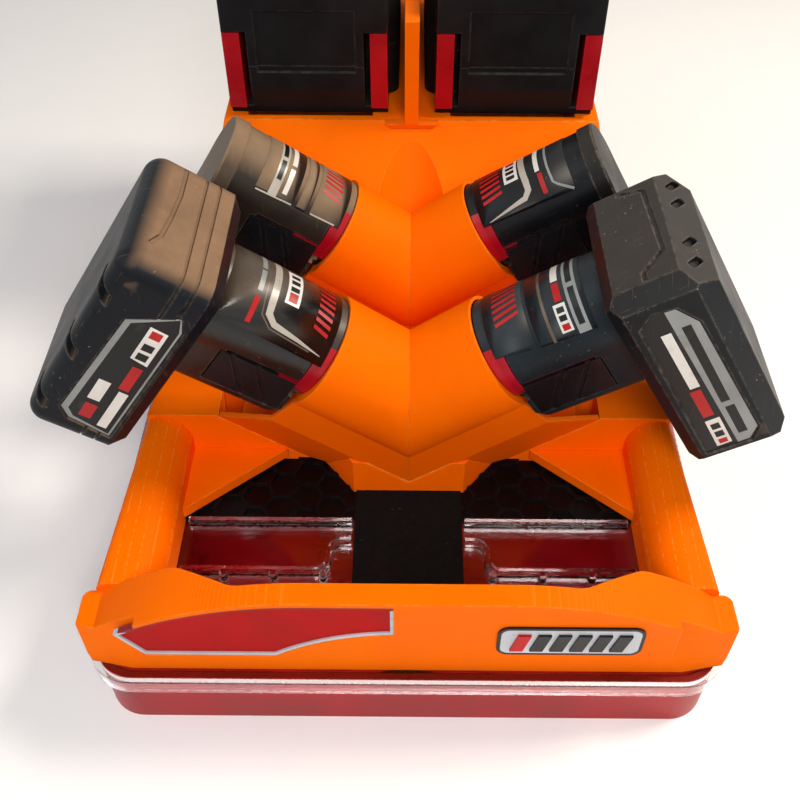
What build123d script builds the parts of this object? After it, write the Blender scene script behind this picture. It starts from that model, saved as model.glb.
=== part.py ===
from build123d import *
import math
import os

# Battery caddy on a clear-lidded bin tray, in millimetres.
# The caddy frame has x to the right, y back from the bumper's front face and z up from the
# caddy's underside. The part frame has its origin at the centre of the tray's underside.

# Bin tray and clear lid
TRAY_WIDTH = 244.0
TRAY_LENGTH = 386.0
TRAY_HEIGHT = 30.0
TRAY_CORNER = 16.0
TRAY_WALL = 2.6
TRAY_FLOOR = 2.6
TRAY_FRONT_MARGIN = 3.0
BIN_WALL = 1.8
BIN_GAP = 0.6
FRONT_BIN_LENGTH = 112.0
LID_THICKNESS = 3.0
LID_SKIRT = 5.0
LID_FIT = 0.3
RIB_HEIGHT = 4.0
RIB_WIDTH = 2.2
RIB_CORNER = 6.0
RIB_FRONT_Y = 43.0
RIB_TURN_Y = 58.0
RIB_REAR_Y = 69.0
RIB_TURN_X = 33.0
RIB_POST_RADIUS = 1.7
RIB_POST_COUNT = 3
RIB_POST_PLACE = 0.9

# Honeycomb mat and its centre tongue
MAT_THICKNESS = 1.2
MAT_CELL_FLATS = 12.8
MAT_CELL_WALL = 1.4
MAT_CELL_DEPTH = 1.2
TONGUE_WIDTH = 46.0
TONGUE_THICKNESS = 3.0

# Front bumper
BUMPER_OVERHANG = 3.0
BUMPER_CORNER_RUN = 6.0
BUMPER_SHOULDER_INSET = 7.0
BUMPER_THICKNESS = 9.0
BUMPER_END_DEPTH = 22.0
BUMPER_HEIGHT = 46.0
BUMPER_END_HEIGHT = 19.5
BUMPER_CROWN_WIDTH = 76.0
BUMPER_BLEND_INNER = 64.0
BUMPER_BLEND_OUTER = 88.0
BUMPER_END_ROUND = 7.0
BEVEL_REACH = 19.0
BEVEL_RISE = 6.5
BEVEL_DEPTH = 2.6

# Name plate, badge and charge bars in the bumper's face
PLATE_RECESS = 2.6
PLATE_THICKNESS = 1.5
PLATE_BEZEL = 1.3
PLATE_RIGHT = -5.0
PLATE_END_INSET = 16.0
PLATE_BOTTOM = 10.0
PLATE_STEP_X = -49.5
PLATE_TOE = 10.0
PLATE_RIGHT_LOW = 25.5
PLATE_TOP_MARGIN = 2.0
PLATE_TOE_TOP = 24.7
PLATE_SAG = 3.6
BADGE_CENTRE_X = 60.0
BADGE_CENTRE_Z = 23.2
BADGE_LENGTH = 54.0
BADGE_HEIGHT = 18.4
BADGE_CORNER = 4.6
BADGE_RIM = 1.3
BADGE_RECESS = 1.4
BADGE_PROUD = 0.8
BAR_COUNT = 6
BAR_PITCH = 7.4
BAR_WIDTH = 4.8
BAR_HEIGHT = 10.6
BAR_SLANT = 14.0
BAR_RELIEF = 1.0

# Side rails and corner gussets
RAIL_BUMPER_INSET = 4.0
RAIL_FRONT_WIDTH = 24.5
RAIL_REAR_WIDTH = 18.5
RAIL_FRONT_HEIGHT = 23.5
RAIL_REAR_HEIGHT = 28.0
RAIL_INNER_ROUND = 13.5
RAIL_OUTER_ROUND = 4.0
GUSSET_TIP_X = 54.5
GUSSET_LEG_Y = 35.0
GUSSET_TOP = 8.5
GUSSET_THICKNESS = 5.5

# Deck behind the window
DECK_FRONT_Y = 104.0
DECK_LIP_HEIGHT = 30.0
DECK_STEP_Y = 170.0
DECK_STEP_HEIGHT = 33.0
DECK_REAR_Y = 240.0
DECK_REAR_HEIGHT = 95.0
DECK_SIDE_INSET = 0.5
DECK_REAR_HALF = 91.0
FLUTE_RADIUS = 20.0
FLUTE_TILT = 16.7
FLUTE_TOP_Y = 232.4
FLUTE_LENGTH = 70.0
POCKET_OUTER_X = 83.3
POCKET_FLOOR_Z = 12.0
POCKET_WALL = 2.2
HULL_FRONT_Y = 85.5
HULL_FRONT_HALF = 24.0
HULL_REAR_HALF = 39.0
HULL_HEIGHT = 21.0

# Stem sockets, two leaning out to each side
SOCKET_LEAN = 35.7
SOCKET_FRONT_Y = 99.0
SOCKET_PITCH = 80.0
SOCKET_CROSS_HEIGHT = 52.0
SOCKET_MOUTH = 44.0
SOCKET_FLOOR = 20.0
SOCKET_BORE = 21.0
SOCKET_OUTER = 24.0
SOCKET_OUTER_DROP = 2.0
WEDGE_TIP_FRONT = 13.0
WEDGE_TIP_DROP = 37.0
WEDGE_FOOT_BACK = 5.0
WEDGE_FOOT_DROP = 66.7
WEDGE_CREASE_FRONT = 18.6
WEDGE_CREASE_DROP = 16.0
POCKET_DEPTH = 12.0
LIP_END = 54.6

# Stem packs
STEM_RADIUS = 19.8
SHELL_RADIUS = 21.3
SHELL_START = 46.2
STEM_SEAT_GAP = 2.2
STEM_NOSE_ROUND = 3.0
BELLY_START = 48.0
BELLY_HALF = 20.6
BELLY_DROP = 27.5
BELLY_CORNER = 5.0
BELLY_NOSE = 7.0
BELLY_ROOM = 3.0
BELLY_ROOM_END = 75.0
PACK_PIVOT = 34.0
FRONT_PACK_ROLL = 0.0
REAR_PACK_ROLL = 11.0
FRONT_LEFT_SAG = 2.0
FRONT_RIGHT_SAG = 5.0
REAR_LEFT_SAG = 2.0
REAR_RIGHT_SAG = 4.5
COMPACT_BASE_START = 97.0
COMPACT_BASE_LENGTH = 7.0
COMPACT_BASE_FLARE = 0.9
TALL_BASE_START = 94.0
TALL_BASE_END = 133.0
TALL_BASE_HALF = 33.0
TALL_BASE_TOP = 27.0
TALL_BASE_DROP = 70.0
TALL_BASE_NECK = 5.0
ROUND_BASE_CORNER = 8.0
ROUND_BASE_EDGE = 7.0
ROUND_BASE_SEAMS = (104.5, 110.0)
SEAM_WIDTH = 1.0
SEAM_DEPTH = 0.9
BROW_WIDTH = 1.6
ROUND_BASE_BROW = ((-28.0, 119.0), (-12.0, 118.8), (3.0, 120.0), (14.0, 121.5), (20.0, 124.5))
ROUND_BASE_PANEL = ((123.5, -54.0), (120.5, 1.5), (103.5, 12.5),
                    (100.0, 6.0), (100.5, -61.0), (118.5, -59.0))
FACET_BASE_BROW = ((-25.0, 108.0), (-22.0, 118.0), (14.0, 119.5), (22.0, 111.0), (26.0, 111.0))
FACET_BASE_PANEL = ((102.0, 12.0), (108.5, 17.5), (117.0, 16.0), (122.5, 6.0),
                    (124.0, -58.0), (119.0, -64.0), (101.0, -64.0))
PANEL_DEPTH = 0.9
FACET_BASE_CORNER = 6.0
FACET_BASE_FOOT = 4.54
FACET_BASE_EDGE = 7.0
SHOULDER_LENGTH = 10.0
SHOULDER_DROP = 12.0
SLOT_VENT_COUNT = 3
SLOT_VENT_LENGTH = 15.0
SLOT_VENT_WIDTH = 5.0
SLOT_VENT_DEPTH = 5.0
SLOT_VENT_TOP = 8.0
SLOT_VENT_PITCH = 31.0
SLOT_VENT_SLANT = 25.0
OVAL_VENT_LENGTH = 9.0
OVAL_VENT_WIDTH = 3.2
OVAL_VENT_DEPTH = 2.5
OVAL_VENT_SLANT = 40.0
OVAL_VENT_PLACES = (-25.0, -14.0, 9.0, 20.0)
LATCH_TRAVEL = 1.5
LATCH_CLEARANCE = 0.4
LATCH_START = 50.0
LATCH_PAD_LENGTH = 32.0
LATCH_PAD_TOP = 4.5
LATCH_PAD_BOTTOM = 21.5
LATCH_PAD_THICKNESS = 2.6
LATCH_TAB_LENGTH = 3.4
LATCH_TAB_THICKNESS = 2.4
LATCH_TAB_LOW = -24.0
LATCH_TAB_HIGH = 44.0
LATCH_TAB_SWING = 1.0
LATCH_STRIP_LENGTH = 30.0
LATCH_STRIP_HEIGHT = 1.6
LATCH_STRIP_SINK = 1.4
GRIP_GROOVE_COUNT = 2
GRIP_GROOVE_WIDTH = 2.0
GRIP_GROOVE_DEPTH = 0.8
GRIP_GROOVE_SLANT = 35.0

# Slide packs, upside down on the rear dock
SLIDE_PACK_X = 49.5
SLIDE_PACK_Y = 242.0
SLIDE_PACK_LIFT = 0.4
SLIDE_PACK_WIDTH = 86.0
SLIDE_PACK_LENGTH = 124.0
SLIDE_PACK_HEIGHT = 66.0
SLIDE_PACK_SEAM = 26.0
SLIDE_PACK_CORNER = 7.0
NOSE_WIDTH = 76.0
NOSE_LENGTH = 22.0
NOSE_CHAMFER_HEIGHT = 14.5
NOSE_CHAMFER_DEPTH = 4.0
NOSE_LABEL_WIDTH = 46.0
NOSE_LABEL_START = 23.0
NOSE_LABEL_HEIGHT = 30.0
NOSE_LABEL_DEPTH = 1.0
BUTTON_WIDTH = 8.0
BUTTON_BOTTOM = 4.5
BUTTON_HEIGHT = 38.0
BUTTON_LENGTH = 17.0
BUTTON_TRAVEL = 2.5
BUTTON_CLEARANCE = 0.4
TONGUE_BLOCK_Y = 280.0
TONGUE_BLOCK_LENGTH = 70.0
TONGUE_NECK_WIDTH = 50.0
TONGUE_NECK_HEIGHT = 9.0
TONGUE_FLANGE_WIDTH = 60.0
TONGUE_FLANGE_HEIGHT = 8.0

# Rear dock and its divider
DOCK_REAR_Y = 372.0
DOCK_FRONT_WALL = 3.5
DOCK_CLEARANCE = 0.5
DOCK_LIP_LENGTH = 34.0
DIVIDER_THICKNESS = 6.6
DIVIDER_HEIGHT = 52.0
DIVIDER_LENGTH = 110.0
DIVIDER_FOOT_HALF = 12.7
DIVIDER_FOOT_TAPER = 3.7
DIVIDER_FOOT_HEIGHT = 4.0
DIVIDER_FOOT_LENGTH = 4.5
DIVIDER_RAKE = 20.0

# Places that follow from the sizes above
CADDY_FRONT_Y = -TRAY_LENGTH / 2 + TRAY_FRONT_MARGIN
CADDY_BASE_Z = TRAY_HEIGHT + LID_THICKNESS
TO_PART = Pos(0, CADDY_FRONT_Y, CADDY_BASE_Z)
LEAN = math.radians(SOCKET_LEAN)
LEFT_AXIS = Vector(-math.cos(LEAN), 0, math.sin(LEAN))
SOCKET_REAR_Y = SOCKET_FRONT_Y + SOCKET_PITCH
PACK_SEATS = {"front_left": (SOCKET_FRONT_Y, FRONT_PACK_ROLL, FRONT_LEFT_SAG),
              "front_right": (SOCKET_FRONT_Y, FRONT_PACK_ROLL, FRONT_RIGHT_SAG),
              "rear_left": (SOCKET_REAR_Y, REAR_PACK_ROLL, REAR_LEFT_SAG),
              "rear_right": (SOCKET_REAR_Y, REAR_PACK_ROLL, REAR_RIGHT_SAG)}
BUMPER_WIDTH = TRAY_WIDTH + 2 * BUMPER_OVERHANG
BUMPER_HALF = BUMPER_WIDTH / 2
BUMPER_FRONT_WIDTH = BUMPER_WIDTH - 2 * BUMPER_CORNER_RUN
BUMPER_SHOULDER = BUMPER_HALF - BUMPER_SHOULDER_INSET
PLATE_LEFT = PLATE_END_INSET - BUMPER_HALF
PLATE_TOE_X = PLATE_LEFT + PLATE_TOE
RAIL_INNER = BUMPER_HALF - RAIL_BUMPER_INSET - RAIL_FRONT_WIDTH
RAIL_FRONT_OUTER = RAIL_INNER + RAIL_FRONT_WIDTH
RAIL_REAR_OUTER = RAIL_INNER + RAIL_REAR_WIDTH
DECK_FRONT_HALF = RAIL_REAR_OUTER - DECK_SIDE_INSET
FAR = 3 * TRAY_LENGTH

NODES = {}


def add(name, solid):
    """Keep one named piece, moved from the caddy frame to the part frame."""
    NODES[name] = TO_PART * solid


def prism_up(points, bottom, top):
    """A plan outline drawn up from one height to another."""
    return Pos(0, 0, bottom) * extrude(make_face(Polyline(*points, close=True)), top - bottom, dir=(0, 0, 1))


def prism_across(points, front, back):
    """An x-z outline drawn back along y."""
    face = make_face(Polyline(*[(x, front, z) for x, z in points], close=True))
    return extrude(face, back - front, dir=(0, 1, 0))


def block(x_span, y_span, z_span):
    """A plain box given by its three spans."""
    size = [high - low for low, high in (x_span, y_span, z_span)]
    middle = [(high + low) / 2 for low, high in (x_span, y_span, z_span)]
    return Pos(*middle) * Box(*size)


def flipped(solid):
    """The same piece on the other side of the centre plane."""
    return mirror(solid, about=Plane.YZ)


def rounded_plan(width, length, corner, height):
    """A box with rounded upright edges, standing on z = 0, centred in plan."""
    return extrude(RectangleRounded(width, length, corner), height)


def socket_frame(y):
    """Frame of a left socket: x forward, y up and inward, z out of the mouth."""
    return Plane((0, y, SOCKET_CROSS_HEIGHT), x_dir=(0, -1, 0), z_dir=LEFT_AXIS).location


def shave(solid, point, outward):
    """Cut off what lies beyond a plane."""
    return solid - extrude(Plane(point, z_dir=outward) * Rectangle(FAR, FAR), FAR)


def seated(pack_name, piece):
    """A pack's piece in its socket: turned about its stem and sagging in the loose bore."""
    y, turn, sag = PACK_SEATS[pack_name]
    sagged = Pos(0, 0, PACK_PIVOT) * Rot(sag, 0, 0) * Pos(0, 0, -PACK_PIVOT)
    placed = socket_frame(y) * sagged * Rot(0, 0, turn) * piece
    return flipped(placed) if "right" in pack_name else placed


def shell_outline(grow):
    """Pack section: the round barrel and the belly below it, with room round them if asked."""
    belly_height = BELLY_DROP + grow
    belly = Pos(0, -belly_height / 2) * Rectangle(2 * (BELLY_HALF + grow), belly_height)
    low = belly.vertices().sort_by(Axis.Y)[:2]
    return Circle(SHELL_RADIUS + grow) + fillet(low, BELLY_CORNER)


def belly_room():
    """Clear room round a pack's barrel and belly in front of the socket's mouth."""
    return Pos(0, 0, SOCKET_MOUTH) * extrude(shell_outline(BELLY_ROOM), BELLY_ROOM_END - SOCKET_MOUTH)


# Bin tray
tray_mid_y = TRAY_LENGTH / 2 - TRAY_FRONT_MARGIN
tray_at = Pos(0, tray_mid_y, -CADDY_BASE_Z)


def bin_tray():
    """Open tray with a rounded plan and a level floor."""
    shell = rounded_plan(TRAY_WIDTH, TRAY_LENGTH, TRAY_CORNER, TRAY_HEIGHT)
    hollow = rounded_plan(TRAY_WIDTH - 2 * TRAY_WALL, TRAY_LENGTH - 2 * TRAY_WALL,
                          TRAY_CORNER - TRAY_WALL, TRAY_HEIGHT)
    return tray_at * (shell - Pos(0, 0, TRAY_FLOOR) * hollow)


def bin_box(side, front, back):
    """Open bin that stands on the tray floor on one side of the middle."""
    width = TRAY_WIDTH / 2 - TRAY_WALL - 1.5 * BIN_GAP
    length = back - front
    height = TRAY_HEIGHT - TRAY_FLOOR - BIN_GAP
    corner = TRAY_CORNER - TRAY_WALL
    shell = rounded_plan(width, length, corner, height)
    hollow = rounded_plan(width - 2 * BIN_WALL, length - 2 * BIN_WALL, corner - BIN_WALL, height)
    box = shell - Pos(0, 0, BIN_WALL) * hollow
    return Pos(side * (width + BIN_GAP) / 2, (front + back) / 2, TRAY_FLOOR - CADDY_BASE_Z) * box


bin_front_y = -TRAY_FRONT_MARGIN + TRAY_WALL + BIN_GAP
bin_split_y = bin_front_y + FRONT_BIN_LENGTH
bin_rear_y = TRAY_LENGTH - TRAY_FRONT_MARGIN - TRAY_WALL - BIN_GAP
add("bin_tray", bin_tray())
for side_name, side in (("left", -1), ("right", 1)):
    add(f"bin_front_{side_name}", bin_box(side, bin_front_y, bin_split_y))
    add(f"bin_rear_{side_name}", bin_box(side, bin_split_y + BIN_GAP, bin_rear_y))


# Clear lid with its raised ribs
def lid_rib():
    """Raised rib on the left half: along the front, round the tongue and a straight rear rib."""
    edge = -RAIL_INNER + RIB_WIDTH
    tongue_edge = -TONGUE_WIDTH / 2 - RIB_WIDTH / 2
    route = FilletPolyline((edge, RIB_FRONT_Y), (-RIB_TURN_X, RIB_FRONT_Y),
                           (-RIB_TURN_X, RIB_TURN_Y), (tongue_edge, RIB_TURN_Y), radius=RIB_CORNER)
    front = extrude(trace(route, line_width=RIB_WIDTH), RIB_HEIGHT)
    rear = block((edge, tongue_edge), (RIB_REAR_Y - RIB_WIDTH, RIB_REAR_Y), (0, RIB_HEIGHT))
    step = (-RIB_TURN_X - edge) / RIB_POST_COUNT
    post_rise = Cylinder(RIB_POST_RADIUS, RIB_HEIGHT, align=(Align.CENTER, Align.CENTER, Align.MIN))
    for index in range(RIB_POST_COUNT):
        front += Pos(edge + (index + RIB_POST_PLACE) * step, RIB_FRONT_Y - RIB_WIDTH, 0) * post_rise
    return front + rear


def clear_lid():
    """Lid plate with a skirt over the tray's rim and the ribs on its top."""
    width = TRAY_WIDTH + 2 * (LID_FIT + TRAY_WALL)
    length = TRAY_LENGTH + 2 * (LID_FIT + TRAY_WALL)
    corner = TRAY_CORNER + LID_FIT + TRAY_WALL
    plate = rounded_plan(width, length, corner, LID_THICKNESS + LID_SKIRT)
    rim = rounded_plan(TRAY_WIDTH + 2 * LID_FIT, TRAY_LENGTH + 2 * LID_FIT, TRAY_CORNER + LID_FIT, LID_SKIRT)
    lid = Pos(0, tray_mid_y, -LID_THICKNESS - LID_SKIRT) * (plate - rim)
    rib = lid_rib()
    return lid + rib + flipped(rib)


add("clear_lid", clear_lid())


# Honeycomb mat between the rear rib and the deck, with its plain tongue to the bumper
mat_front_y = RIB_REAR_Y + LID_FIT
mat_half = RAIL_INNER - LID_FIT


def hull_plan(grow):
    """Plan of the hull under the front sockets, with room round it if asked."""
    front = HULL_FRONT_HALF + grow
    rear = HULL_REAR_HALF + grow
    return [(-front, HULL_FRONT_Y - grow), (front, HULL_FRONT_Y - grow),
            (rear, DECK_FRONT_Y), (-rear, DECK_FRONT_Y)]


def honeycomb_mat():
    """Flat mat with a pattern of six-sided wells."""
    sheet = block((-mat_half, mat_half), (mat_front_y, DECK_FRONT_Y), (0, MAT_THICKNESS + MAT_CELL_DEPTH))
    sheet -= block((-TONGUE_WIDTH / 2, TONGUE_WIDTH / 2), (0, DECK_FRONT_Y), (0, FAR))
    sheet -= prism_up(hull_plan(LID_FIT), 0, FAR)
    well = extrude(RegularPolygon((MAT_CELL_FLATS - MAT_CELL_WALL) / 2, 6, major_radius=False, rotation=0),
                   2 * MAT_CELL_DEPTH)
    row_step = MAT_CELL_FLATS
    column_step = MAT_CELL_FLATS * math.sqrt(3) / 2
    columns = int(mat_half / column_step)
    rows = int((DECK_FRONT_Y - mat_front_y) / row_step) + 1
    wells = []
    for column in range(-columns, columns + 1):
        shift = row_step / 2 if column % 2 else 0
        for row in range(rows):
            y = mat_front_y + shift + row * row_step
            wells.append(Pos(column * column_step, y, MAT_THICKNESS) * well)
    return sheet - wells


def mat_tongue():
    """Plain strip from the hull to the bumper."""
    half = TONGUE_WIDTH / 2
    return block((-half, half), (BUMPER_THICKNESS, HULL_FRONT_Y - LID_FIT), (0, TONGUE_THICKNESS))


# Front bumper
def bumper_plan():
    """Half outlines of the plan, straight in the middle and swept back at both ends."""
    half_front = BUMPER_FRONT_WIDTH / 2
    right = [(half_front, 0), (BUMPER_HALF, BUMPER_END_ROUND), (BUMPER_HALF, BUMPER_END_DEPTH),
             (BUMPER_BLEND_OUTER, BUMPER_END_DEPTH), (BUMPER_BLEND_INNER, BUMPER_THICKNESS)]
    left = [(-x, y) for x, y in reversed(right)]
    face = make_face(Polyline(*right, *left, close=True))
    corners = [v for v in face.vertices() if abs(v.X) > BUMPER_HALF - 1e-3]
    face = fillet(corners, BUMPER_END_ROUND / 2)
    bends = [v for v in face.vertices() if abs(abs(v.X) - BUMPER_BLEND_OUTER) < 1e-3
             or abs(abs(v.X) - BUMPER_BLEND_INNER) < 1e-3]
    return fillet(bends, BUMPER_END_DEPTH - BUMPER_THICKNESS)


def arch_outline(drop=0.0):
    """Front view of the bumper: level crown, round shoulders, low ends; dropped by a margin."""
    half_crown = BUMPER_CROWN_WIDTH / 2
    top = BUMPER_HEIGHT - drop
    low = BUMPER_END_HEIGHT - drop
    right = TangentArc((half_crown, 0, top), (BUMPER_SHOULDER, 0, low), tangent=(1, 0, 0))
    left = TangentArc((-half_crown, 0, top), (-BUMPER_SHOULDER, 0, low), tangent=(-1, 0, 0))
    crown = Line((-half_crown, 0, top), (half_crown, 0, top))
    sides = Polyline((BUMPER_SHOULDER, 0, low), (BUMPER_HALF, 0, low), (BUMPER_HALF, 0, -drop),
                     (-BUMPER_HALF, 0, -drop), (-BUMPER_HALF, 0, low), (-BUMPER_SHOULDER, 0, low))
    return make_face([right, left, crown, sides])


def end_bevel():
    """Slanted cut under the bumper's right end."""
    half_front = BUMPER_FRONT_WIDTH / 2
    inner = Vector(half_front - BEVEL_REACH, 0, BEVEL_RISE)
    upper = Vector(BUMPER_HALF, BUMPER_END_ROUND, BUMPER_END_HEIGHT)
    lower = Vector(half_front, BEVEL_DEPTH, 0)
    outward = (upper - inner).cross(lower - inner)
    if outward.Y > 0:
        outward = outward * -1
    cut = extrude(Plane(inner, z_dir=outward) * Rectangle(BUMPER_WIDTH, BUMPER_WIDTH), BUMPER_WIDTH)
    return cut & block((inner.X, FAR), (-FAR, FAR), (-FAR, FAR))


def plate_outline():
    """Name plate outline on the bumper's face: arched top, stepped foot."""
    foot = Polyline((PLATE_RIGHT, 0, FAR), (PLATE_RIGHT, 0, PLATE_RIGHT_LOW))
    high = Vector(PLATE_RIGHT, 0, PLATE_RIGHT_LOW)
    low = Vector(PLATE_STEP_X, 0, PLATE_BOTTOM)
    chord = low - high
    rise = Vector(chord.Z, 0, -chord.X).normalized() * PLATE_SAG
    sag = ThreePointArc(high, (high + low) * 0.5 + rise, low)
    rest = Polyline((PLATE_STEP_X, 0, PLATE_BOTTOM), (PLATE_TOE_X, 0, PLATE_BOTTOM),
                    (PLATE_LEFT, 0, PLATE_TOE_TOP), (PLATE_LEFT, 0, FAR), (PLATE_RIGHT, 0, FAR))
    return make_face([foot, sag, rest]) & arch_outline(PLATE_TOP_MARGIN)


def backwards(face, start, depth):
    """A face on the bumper's front drawn back into it."""
    return Pos(0, start, 0) * extrude(face, depth, dir=(0, 1, 0))


def badge_outline(inset):
    """Rounded badge outline on the bumper's face."""
    face = RectangleRounded(BADGE_LENGTH - 2 * inset, BADGE_HEIGHT - 2 * inset, BADGE_CORNER - inset)
    return Plane((BADGE_CENTRE_X, 0, BADGE_CENTRE_Z), x_dir=(1, 0, 0), z_dir=(0, -1, 0)).location * face


def charge_bar(index):
    """One slanted bar of the charge row on the badge."""
    lean = BAR_HEIGHT / 2 * math.tan(math.radians(BAR_SLANT))
    middle = BADGE_CENTRE_X + (index - (BAR_COUNT - 1) / 2) * BAR_PITCH
    low = BADGE_CENTRE_Z - BAR_HEIGHT / 2
    high = BADGE_CENTRE_Z + BAR_HEIGHT / 2
    half = BAR_WIDTH / 2
    outline = [(middle - half - lean, low), (middle + half - lean, low),
               (middle + half + lean, high), (middle - half + lean, high)]
    return prism_across(outline, -BADGE_PROUD - BAR_RELIEF, -BADGE_PROUD)


bumper_prism = extrude(bumper_plan(), FAR)
plate_face = plate_outline()
bumper = bumper_prism & extrude(arch_outline(), FAR, dir=(0, 1, 0))
bevel = end_bevel()
bumper -= [bevel, flipped(bevel)]
bumper -= backwards(plate_face, -BADGE_PROUD, PLATE_RECESS + BADGE_PROUD)
bumper -= backwards(badge_outline(0), -BADGE_PROUD, BADGE_RECESS + BADGE_PROUD)
add("front_bumper", bumper)

inner_plate = offset(plate_face, -PLATE_BEZEL, kind=Kind.INTERSECTION)
plate_start = PLATE_RECESS - PLATE_THICKNESS
add("name_plate", backwards(inner_plate, plate_start, PLATE_THICKNESS))
bezel_depth = PLATE_THICKNESS + BADGE_PROUD
add("plate_bezel", backwards(plate_face - inner_plate, plate_start - BADGE_PROUD, bezel_depth))
badge_depth = BADGE_RECESS + BADGE_PROUD
add("badge_rim", backwards(badge_outline(0) - badge_outline(BADGE_RIM), -BADGE_PROUD, badge_depth))
add("badge_plate", backwards(badge_outline(BADGE_RIM), -BADGE_PROUD, badge_depth))
add("charge_bar_low", charge_bar(0))
add("charge_bars", Compound(children=[charge_bar(index) for index in range(1, BAR_COUNT)]))
add("honeycomb_mat", honeycomb_mat())
add("mat_tongue", mat_tongue())


# Side rails and gussets
def rail_section(y, outer, height):
    """Rail section at one place: upright sides, wide inner rounding, small outer rounding."""
    face = make_face(Polyline((RAIL_INNER, y, 0), (outer, y, 0), (outer, y, height),
                              (RAIL_INNER, y, height), close=True))
    inner = face.vertices().sort_by(Axis.X)[:2].sort_by(Axis.Z)[-1]
    face = fillet(inner, RAIL_INNER_ROUND)
    outside = face.vertices().sort_by(Axis.X)[-2:].sort_by(Axis.Z)[-1]
    return fillet(outside, RAIL_OUTER_ROUND)


def side_rail():
    """Right rail from the bumper's swept end to the deck's front wall."""
    front = rail_section(BUMPER_THICKNESS, RAIL_FRONT_OUTER, RAIL_FRONT_HEIGHT)
    rear = rail_section(DECK_FRONT_Y, RAIL_REAR_OUTER, RAIL_REAR_HEIGHT)
    return loft([front, rear], ruled=True) - bumper_prism


def gusset():
    """Three-cornered plate between the right rail and the deck's front wall."""
    corner = (RAIL_INNER, DECK_FRONT_Y)
    points = [corner, (GUSSET_TIP_X, DECK_FRONT_Y), (RAIL_INNER, DECK_FRONT_Y - GUSSET_LEG_Y)]
    return prism_up(points, GUSSET_TOP - GUSSET_THICKNESS, GUSSET_TOP)


rail = side_rail()
add("rail_right", rail)
add("rail_left", flipped(rail))


# Stem sockets
wedge_tip = Vector(WEDGE_TIP_FRONT, -WEDGE_TIP_DROP, 0)
wedge_foot = Vector(-WEDGE_FOOT_BACK, -WEDGE_FOOT_DROP, 0)
wedge_fall = (wedge_foot - wedge_tip).normalized()
wedge_inward = Vector(wedge_fall.Y, -wedge_fall.X, 0)


def wedge_profile():
    """Socket section across its axis: the tube and the flared wedge that carries it."""
    wedge = Polyline((0, 0), (WEDGE_CREASE_FRONT, -WEDGE_CREASE_DROP), wedge_tip, wedge_foot,
                     (-SOCKET_OUTER, -WEDGE_FOOT_DROP), (-SOCKET_OUTER, -SOCKET_OUTER_DROP), close=True)
    return Pos(0, -SOCKET_OUTER_DROP) * Circle(SOCKET_OUTER) + make_face(wedge)


def pocket_profile():
    """Section of the room for the pack's belly, one wall inside the wedge."""
    inset = wedge_inward * POCKET_WALL
    back = POCKET_WALL - SOCKET_OUTER
    outline = Polyline((0, 0), (WEDGE_CREASE_FRONT - POCKET_WALL, -WEDGE_CREASE_DROP), wedge_tip + inset,
                       wedge_foot + inset, (back, (wedge_foot + inset).Y), (back, 0), close=True)
    return make_face(outline)


def pocket_lip():
    """Three-cornered wall that carries the pocket's front edge out to the deck."""
    mouth = Vector(0, 0, SOCKET_MOUTH)
    corners = Polyline(wedge_tip + mouth, wedge_foot + mouth, wedge_foot + Vector(0, 0, LIP_END), close=True)
    return extrude(make_face(corners), POCKET_WALL, dir=wedge_inward)


def socket_solid(y):
    """Left socket without its bore, mitred at the centre plane and cut level underneath."""
    start = -WEDGE_FOOT_DROP * math.tan(LEAN) - SOCKET_OUTER
    tube = Pos(0, 0, start) * extrude(wedge_profile(), SOCKET_MOUTH - start)
    body = socket_frame(y) * (tube + pocket_lip())
    return body & block((-FAR, 0), (-FAR, FAR), (TONGUE_THICKNESS, FAR))


def socket_bore(y):
    """Round pocket for the stem, from its floor out past the mouth, and the belly's room below it."""
    bore = Pos(0, 0, SOCKET_FLOOR) * extrude(Circle(SOCKET_BORE), SOCKET_MOUTH)
    pocket = Pos(0, 0, SOCKET_MOUTH - POCKET_DEPTH) * extrude(pocket_profile(), SOCKET_MOUTH)
    return socket_frame(y) * (bore + pocket)


def deck_pocket(y):
    """Room in the deck in front of a left socket's mouth, above the wedge's lower face."""
    room = block((-POCKET_OUTER_X, 0), (-FAR, y + SOCKET_OUTER - POCKET_WALL), (POCKET_FLOOR_Z, FAR))
    low = wedge_foot + wedge_fall * FAR
    high = wedge_tip - wedge_fall * FAR
    above = Polyline(high, low, low + wedge_inward * FAR, high + wedge_inward * FAR, close=True)
    return room & socket_frame(y) * (Pos(0, 0, -FAR) * extrude(make_face(above), 2 * FAR))


def hull():
    """Hull under the front sockets, standing on the lid."""
    body = prism_up(hull_plan(0), 0, HULL_HEIGHT)
    left = socket_solid(SOCKET_FRONT_Y)
    return body - [left, flipped(left)]


web = gusset() - flipped(socket_solid(SOCKET_FRONT_Y))
add("gusset_right", web)
add("gusset_left", flipped(web))


# Deck: level step behind the window, ramp up to the dock, fluted in the middle
def deck_height(y):
    """Height of the ramp at a place along it."""
    slope = (DECK_REAR_HEIGHT - DECK_STEP_HEIGHT) / (DECK_REAR_Y - DECK_STEP_Y)
    return DECK_STEP_HEIGHT + slope * (y - DECK_STEP_Y)


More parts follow.
